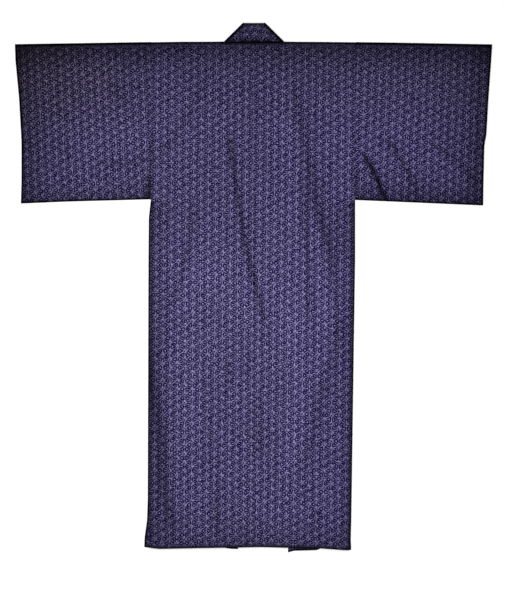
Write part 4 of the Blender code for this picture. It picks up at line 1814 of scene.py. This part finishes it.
@dataclass
class Stitching:
    """The small stitches that hold the back hem and the sleeve mouths, sizes in millimetres."""

    thread: Thread
    length: float = 2.6
    radius: float = 0.25
    pitch: float = 9.0
    above_hem: float = 12.0
    from_mouth: float = 8.0
    hem_places: Point = (-285.0, 265.0)
    mouth_places: Point = (435.0, 680.0)

    def places(self) -> List[Spot]:
        """Where the stitches lie: across the robe, along it, and how far each is turned.

        Returns:
            A place and a turn in radians for each stitch.
        """
        found = []
        reach = 0.5 * self.pitch
        for x in np.arange(*self.hem_places, self.pitch):
            ends = read(BACK_HEM, "x", "y", np.array([x - reach, x, x + reach])) + self.above_hem
            found.append((x, float(ends[1]), math.atan2(float(ends[2] - ends[0]), self.pitch)))
        for side in Side:
            for y in np.arange(*self.mouth_places, self.pitch):
                ends = LAY.sleeve_end(side.value, np.array([y - reach, y, y + reach])) - self.from_mouth
                lean = side.value * float(ends[2] - ends[0])
                found.append((side.value * float(ends[1]), y, math.atan2(self.pitch, lean)))
        return found

    def one(self) -> Piece:
        """Models one stitch: a short thread with round ends.

        Returns:
            The stitch, at the origin and along X.
        """
        bpy.ops.object.select_all(action="DESELECT")
        bpy.ops.mesh.primitive_uv_sphere_add(segments=8, ring_count=6, radius=self.radius * MM,
                                             location=(0.0, 0.0, 0.0))
        bpy.ops.object.mode_set(mode="EDIT")
        bpy.ops.mesh.select_all(action="SELECT")
        bpy.ops.transform.resize(value=(self.length / (2.0 * self.radius), 1.0, 1.0))
        bpy.ops.mesh.faces_shade_smooth()
        bpy.ops.object.mode_set(mode="OBJECT")
        return bpy.context.object

    def build(self) -> Piece:
        """Copies the stitch along the hem and the mouths and joins the copies.

        Returns:
            All the stitches, as one piece.
        """
        first = self.one()
        first.name = "robe_stitches"
        first.data.materials.append(self.thread.make())
        pattern = first.data.copy()
        for number, (x, y, turn) in enumerate(self.places()):
            level, _ = LAY.upper(np.array([x]), np.array([y]))
            height = float(level[0]) + LAY.wall / 2.0
            stitch = first
            if number:
                stitch = bpy.data.objects.new("stitch", pattern.copy())
                bpy.context.scene.collection.objects.link(stitch)
            move = Matrix.Translation(((x - CENTRE_X) * MM, (y - CENTRE_Y) * MM, height * MM))
            stitch.data.transform(move @ Matrix.Rotation(turn, 4, "Z"))
            stitch.select_set(True)
        bpy.context.view_layer.objects.active = first
        bpy.ops.object.join()
        bpy.data.meshes.remove(pattern)
        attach(first, "root")
        LOG.info("stitches: %d faces", len(first.data.polygons))
        return first


@dataclass(frozen=True)
class Studio:
    """A plain pale floor, soft light from above, and a camera that looks straight down."""

    lens: float = 85.0
    picture_height: float = 1.7058
    aim: Point = (-0.0030, -0.0354)
    floor_size: float = 14.0
    floor_tone: Patches = Patches(scale=3.0, detail=2.0, low=0.3, high=0.7, least=0.86, most=0.88)
    sensor: float = 36.0
    sky: float = 0.82

    def floor(self) -> Piece:
        """Lays the floor.

        Returns:
            The floor, which is no part of the robe.
        """
        bpy.ops.object.select_all(action="DESELECT")
        bpy.ops.mesh.primitive_plane_add(size=self.floor_size, location=(0.0, 0.0, 0.0))
        floor = bpy.context.object
        floor.name = "floor"
        graph = Graph("pale_floor")
        tone = self.floor_tone.at(graph, graph.add("ShaderNodeTexCoord").outputs["Object"])
        grey = graph.colour(tone, tone, tone)
        floor.data.materials.append(graph.finish({"Base Color": grey, "Roughness": 0.9}))
        return floor

    def lamp(self, name: str, place: Spot, aim: Spot, size: Point, power: float) -> None:
        """Hangs one soft light.

        Args:
            name: The light's name.
            place: Where it hangs.
            aim: The point that it faces.
            size: Its width and height.
            power: Its power in watts.
        """
        data = bpy.data.lights.new(name, "AREA")
        data.shape, data.size, data.size_y, data.energy = "RECTANGLE", size[0], size[1], power
        light = bpy.data.objects.new(name, data)
        bpy.context.scene.collection.objects.link(light)
        light.location = place
        run = [b - a for a, b in zip(place, aim)]
        across = math.hypot(run[0], run[1])
        heading = math.atan2(run[1], run[0]) - math.pi / 2
        light.rotation_euler = (math.atan2(across, -run[2]), 0.0, heading)

    def build(self) -> None:
        """Sets up the floor, the lights and the camera."""
        self.floor()
        scene = bpy.context.scene
        self.lamp("overhead", (0.0, -0.10, 1.7), (0.0, -0.10, 0.0), (1.0, 1.1), 17.0)
        self.lamp("left", (-2.6, 1.2, 1.7), (0.0, 0.0, 0.0), (1.6, 1.6), 20.0)
        world = bpy.data.worlds.new("studio")
        world.use_nodes = True
        background = world.node_tree.nodes["Background"]
        background.inputs["Color"].default_value = (1.0, 1.0, 1.0, 1.0)
        background.inputs["Strength"].default_value = self.sky
        scene.world = world
        scene.view_settings.view_transform = "Standard"
        data = bpy.data.cameras.new("camera")
        data.lens, data.sensor_width = self.lens, self.sensor
        camera = bpy.data.objects.new("camera", data)
        scene.collection.objects.link(camera)
        camera.location = (self.aim[0], self.aim[1], self.picture_height * self.lens / self.sensor)
        scene.camera = camera


def main() -> None:
    """Builds the robe's pieces in sewing order, and then the studio."""
    logging.basicConfig(level=logging.INFO, format="%(name)s %(message)s")
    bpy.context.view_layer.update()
    body = PrintedCotton("body_cotton")
    sleeves = PrintedCotton("sleeve_cotton")
    band = PrintedCotton("collar_cotton")
    Studio().build()
    for side in Side:
        BodyPanel(side, body).build()
        OverlapPanel(side, body).build()
        Sleeve(side, sleeves).build()
    Collar(Side.LEFT, band).build()
    Stitching(Thread()).build()


if __name__ == "__main__":
    main()
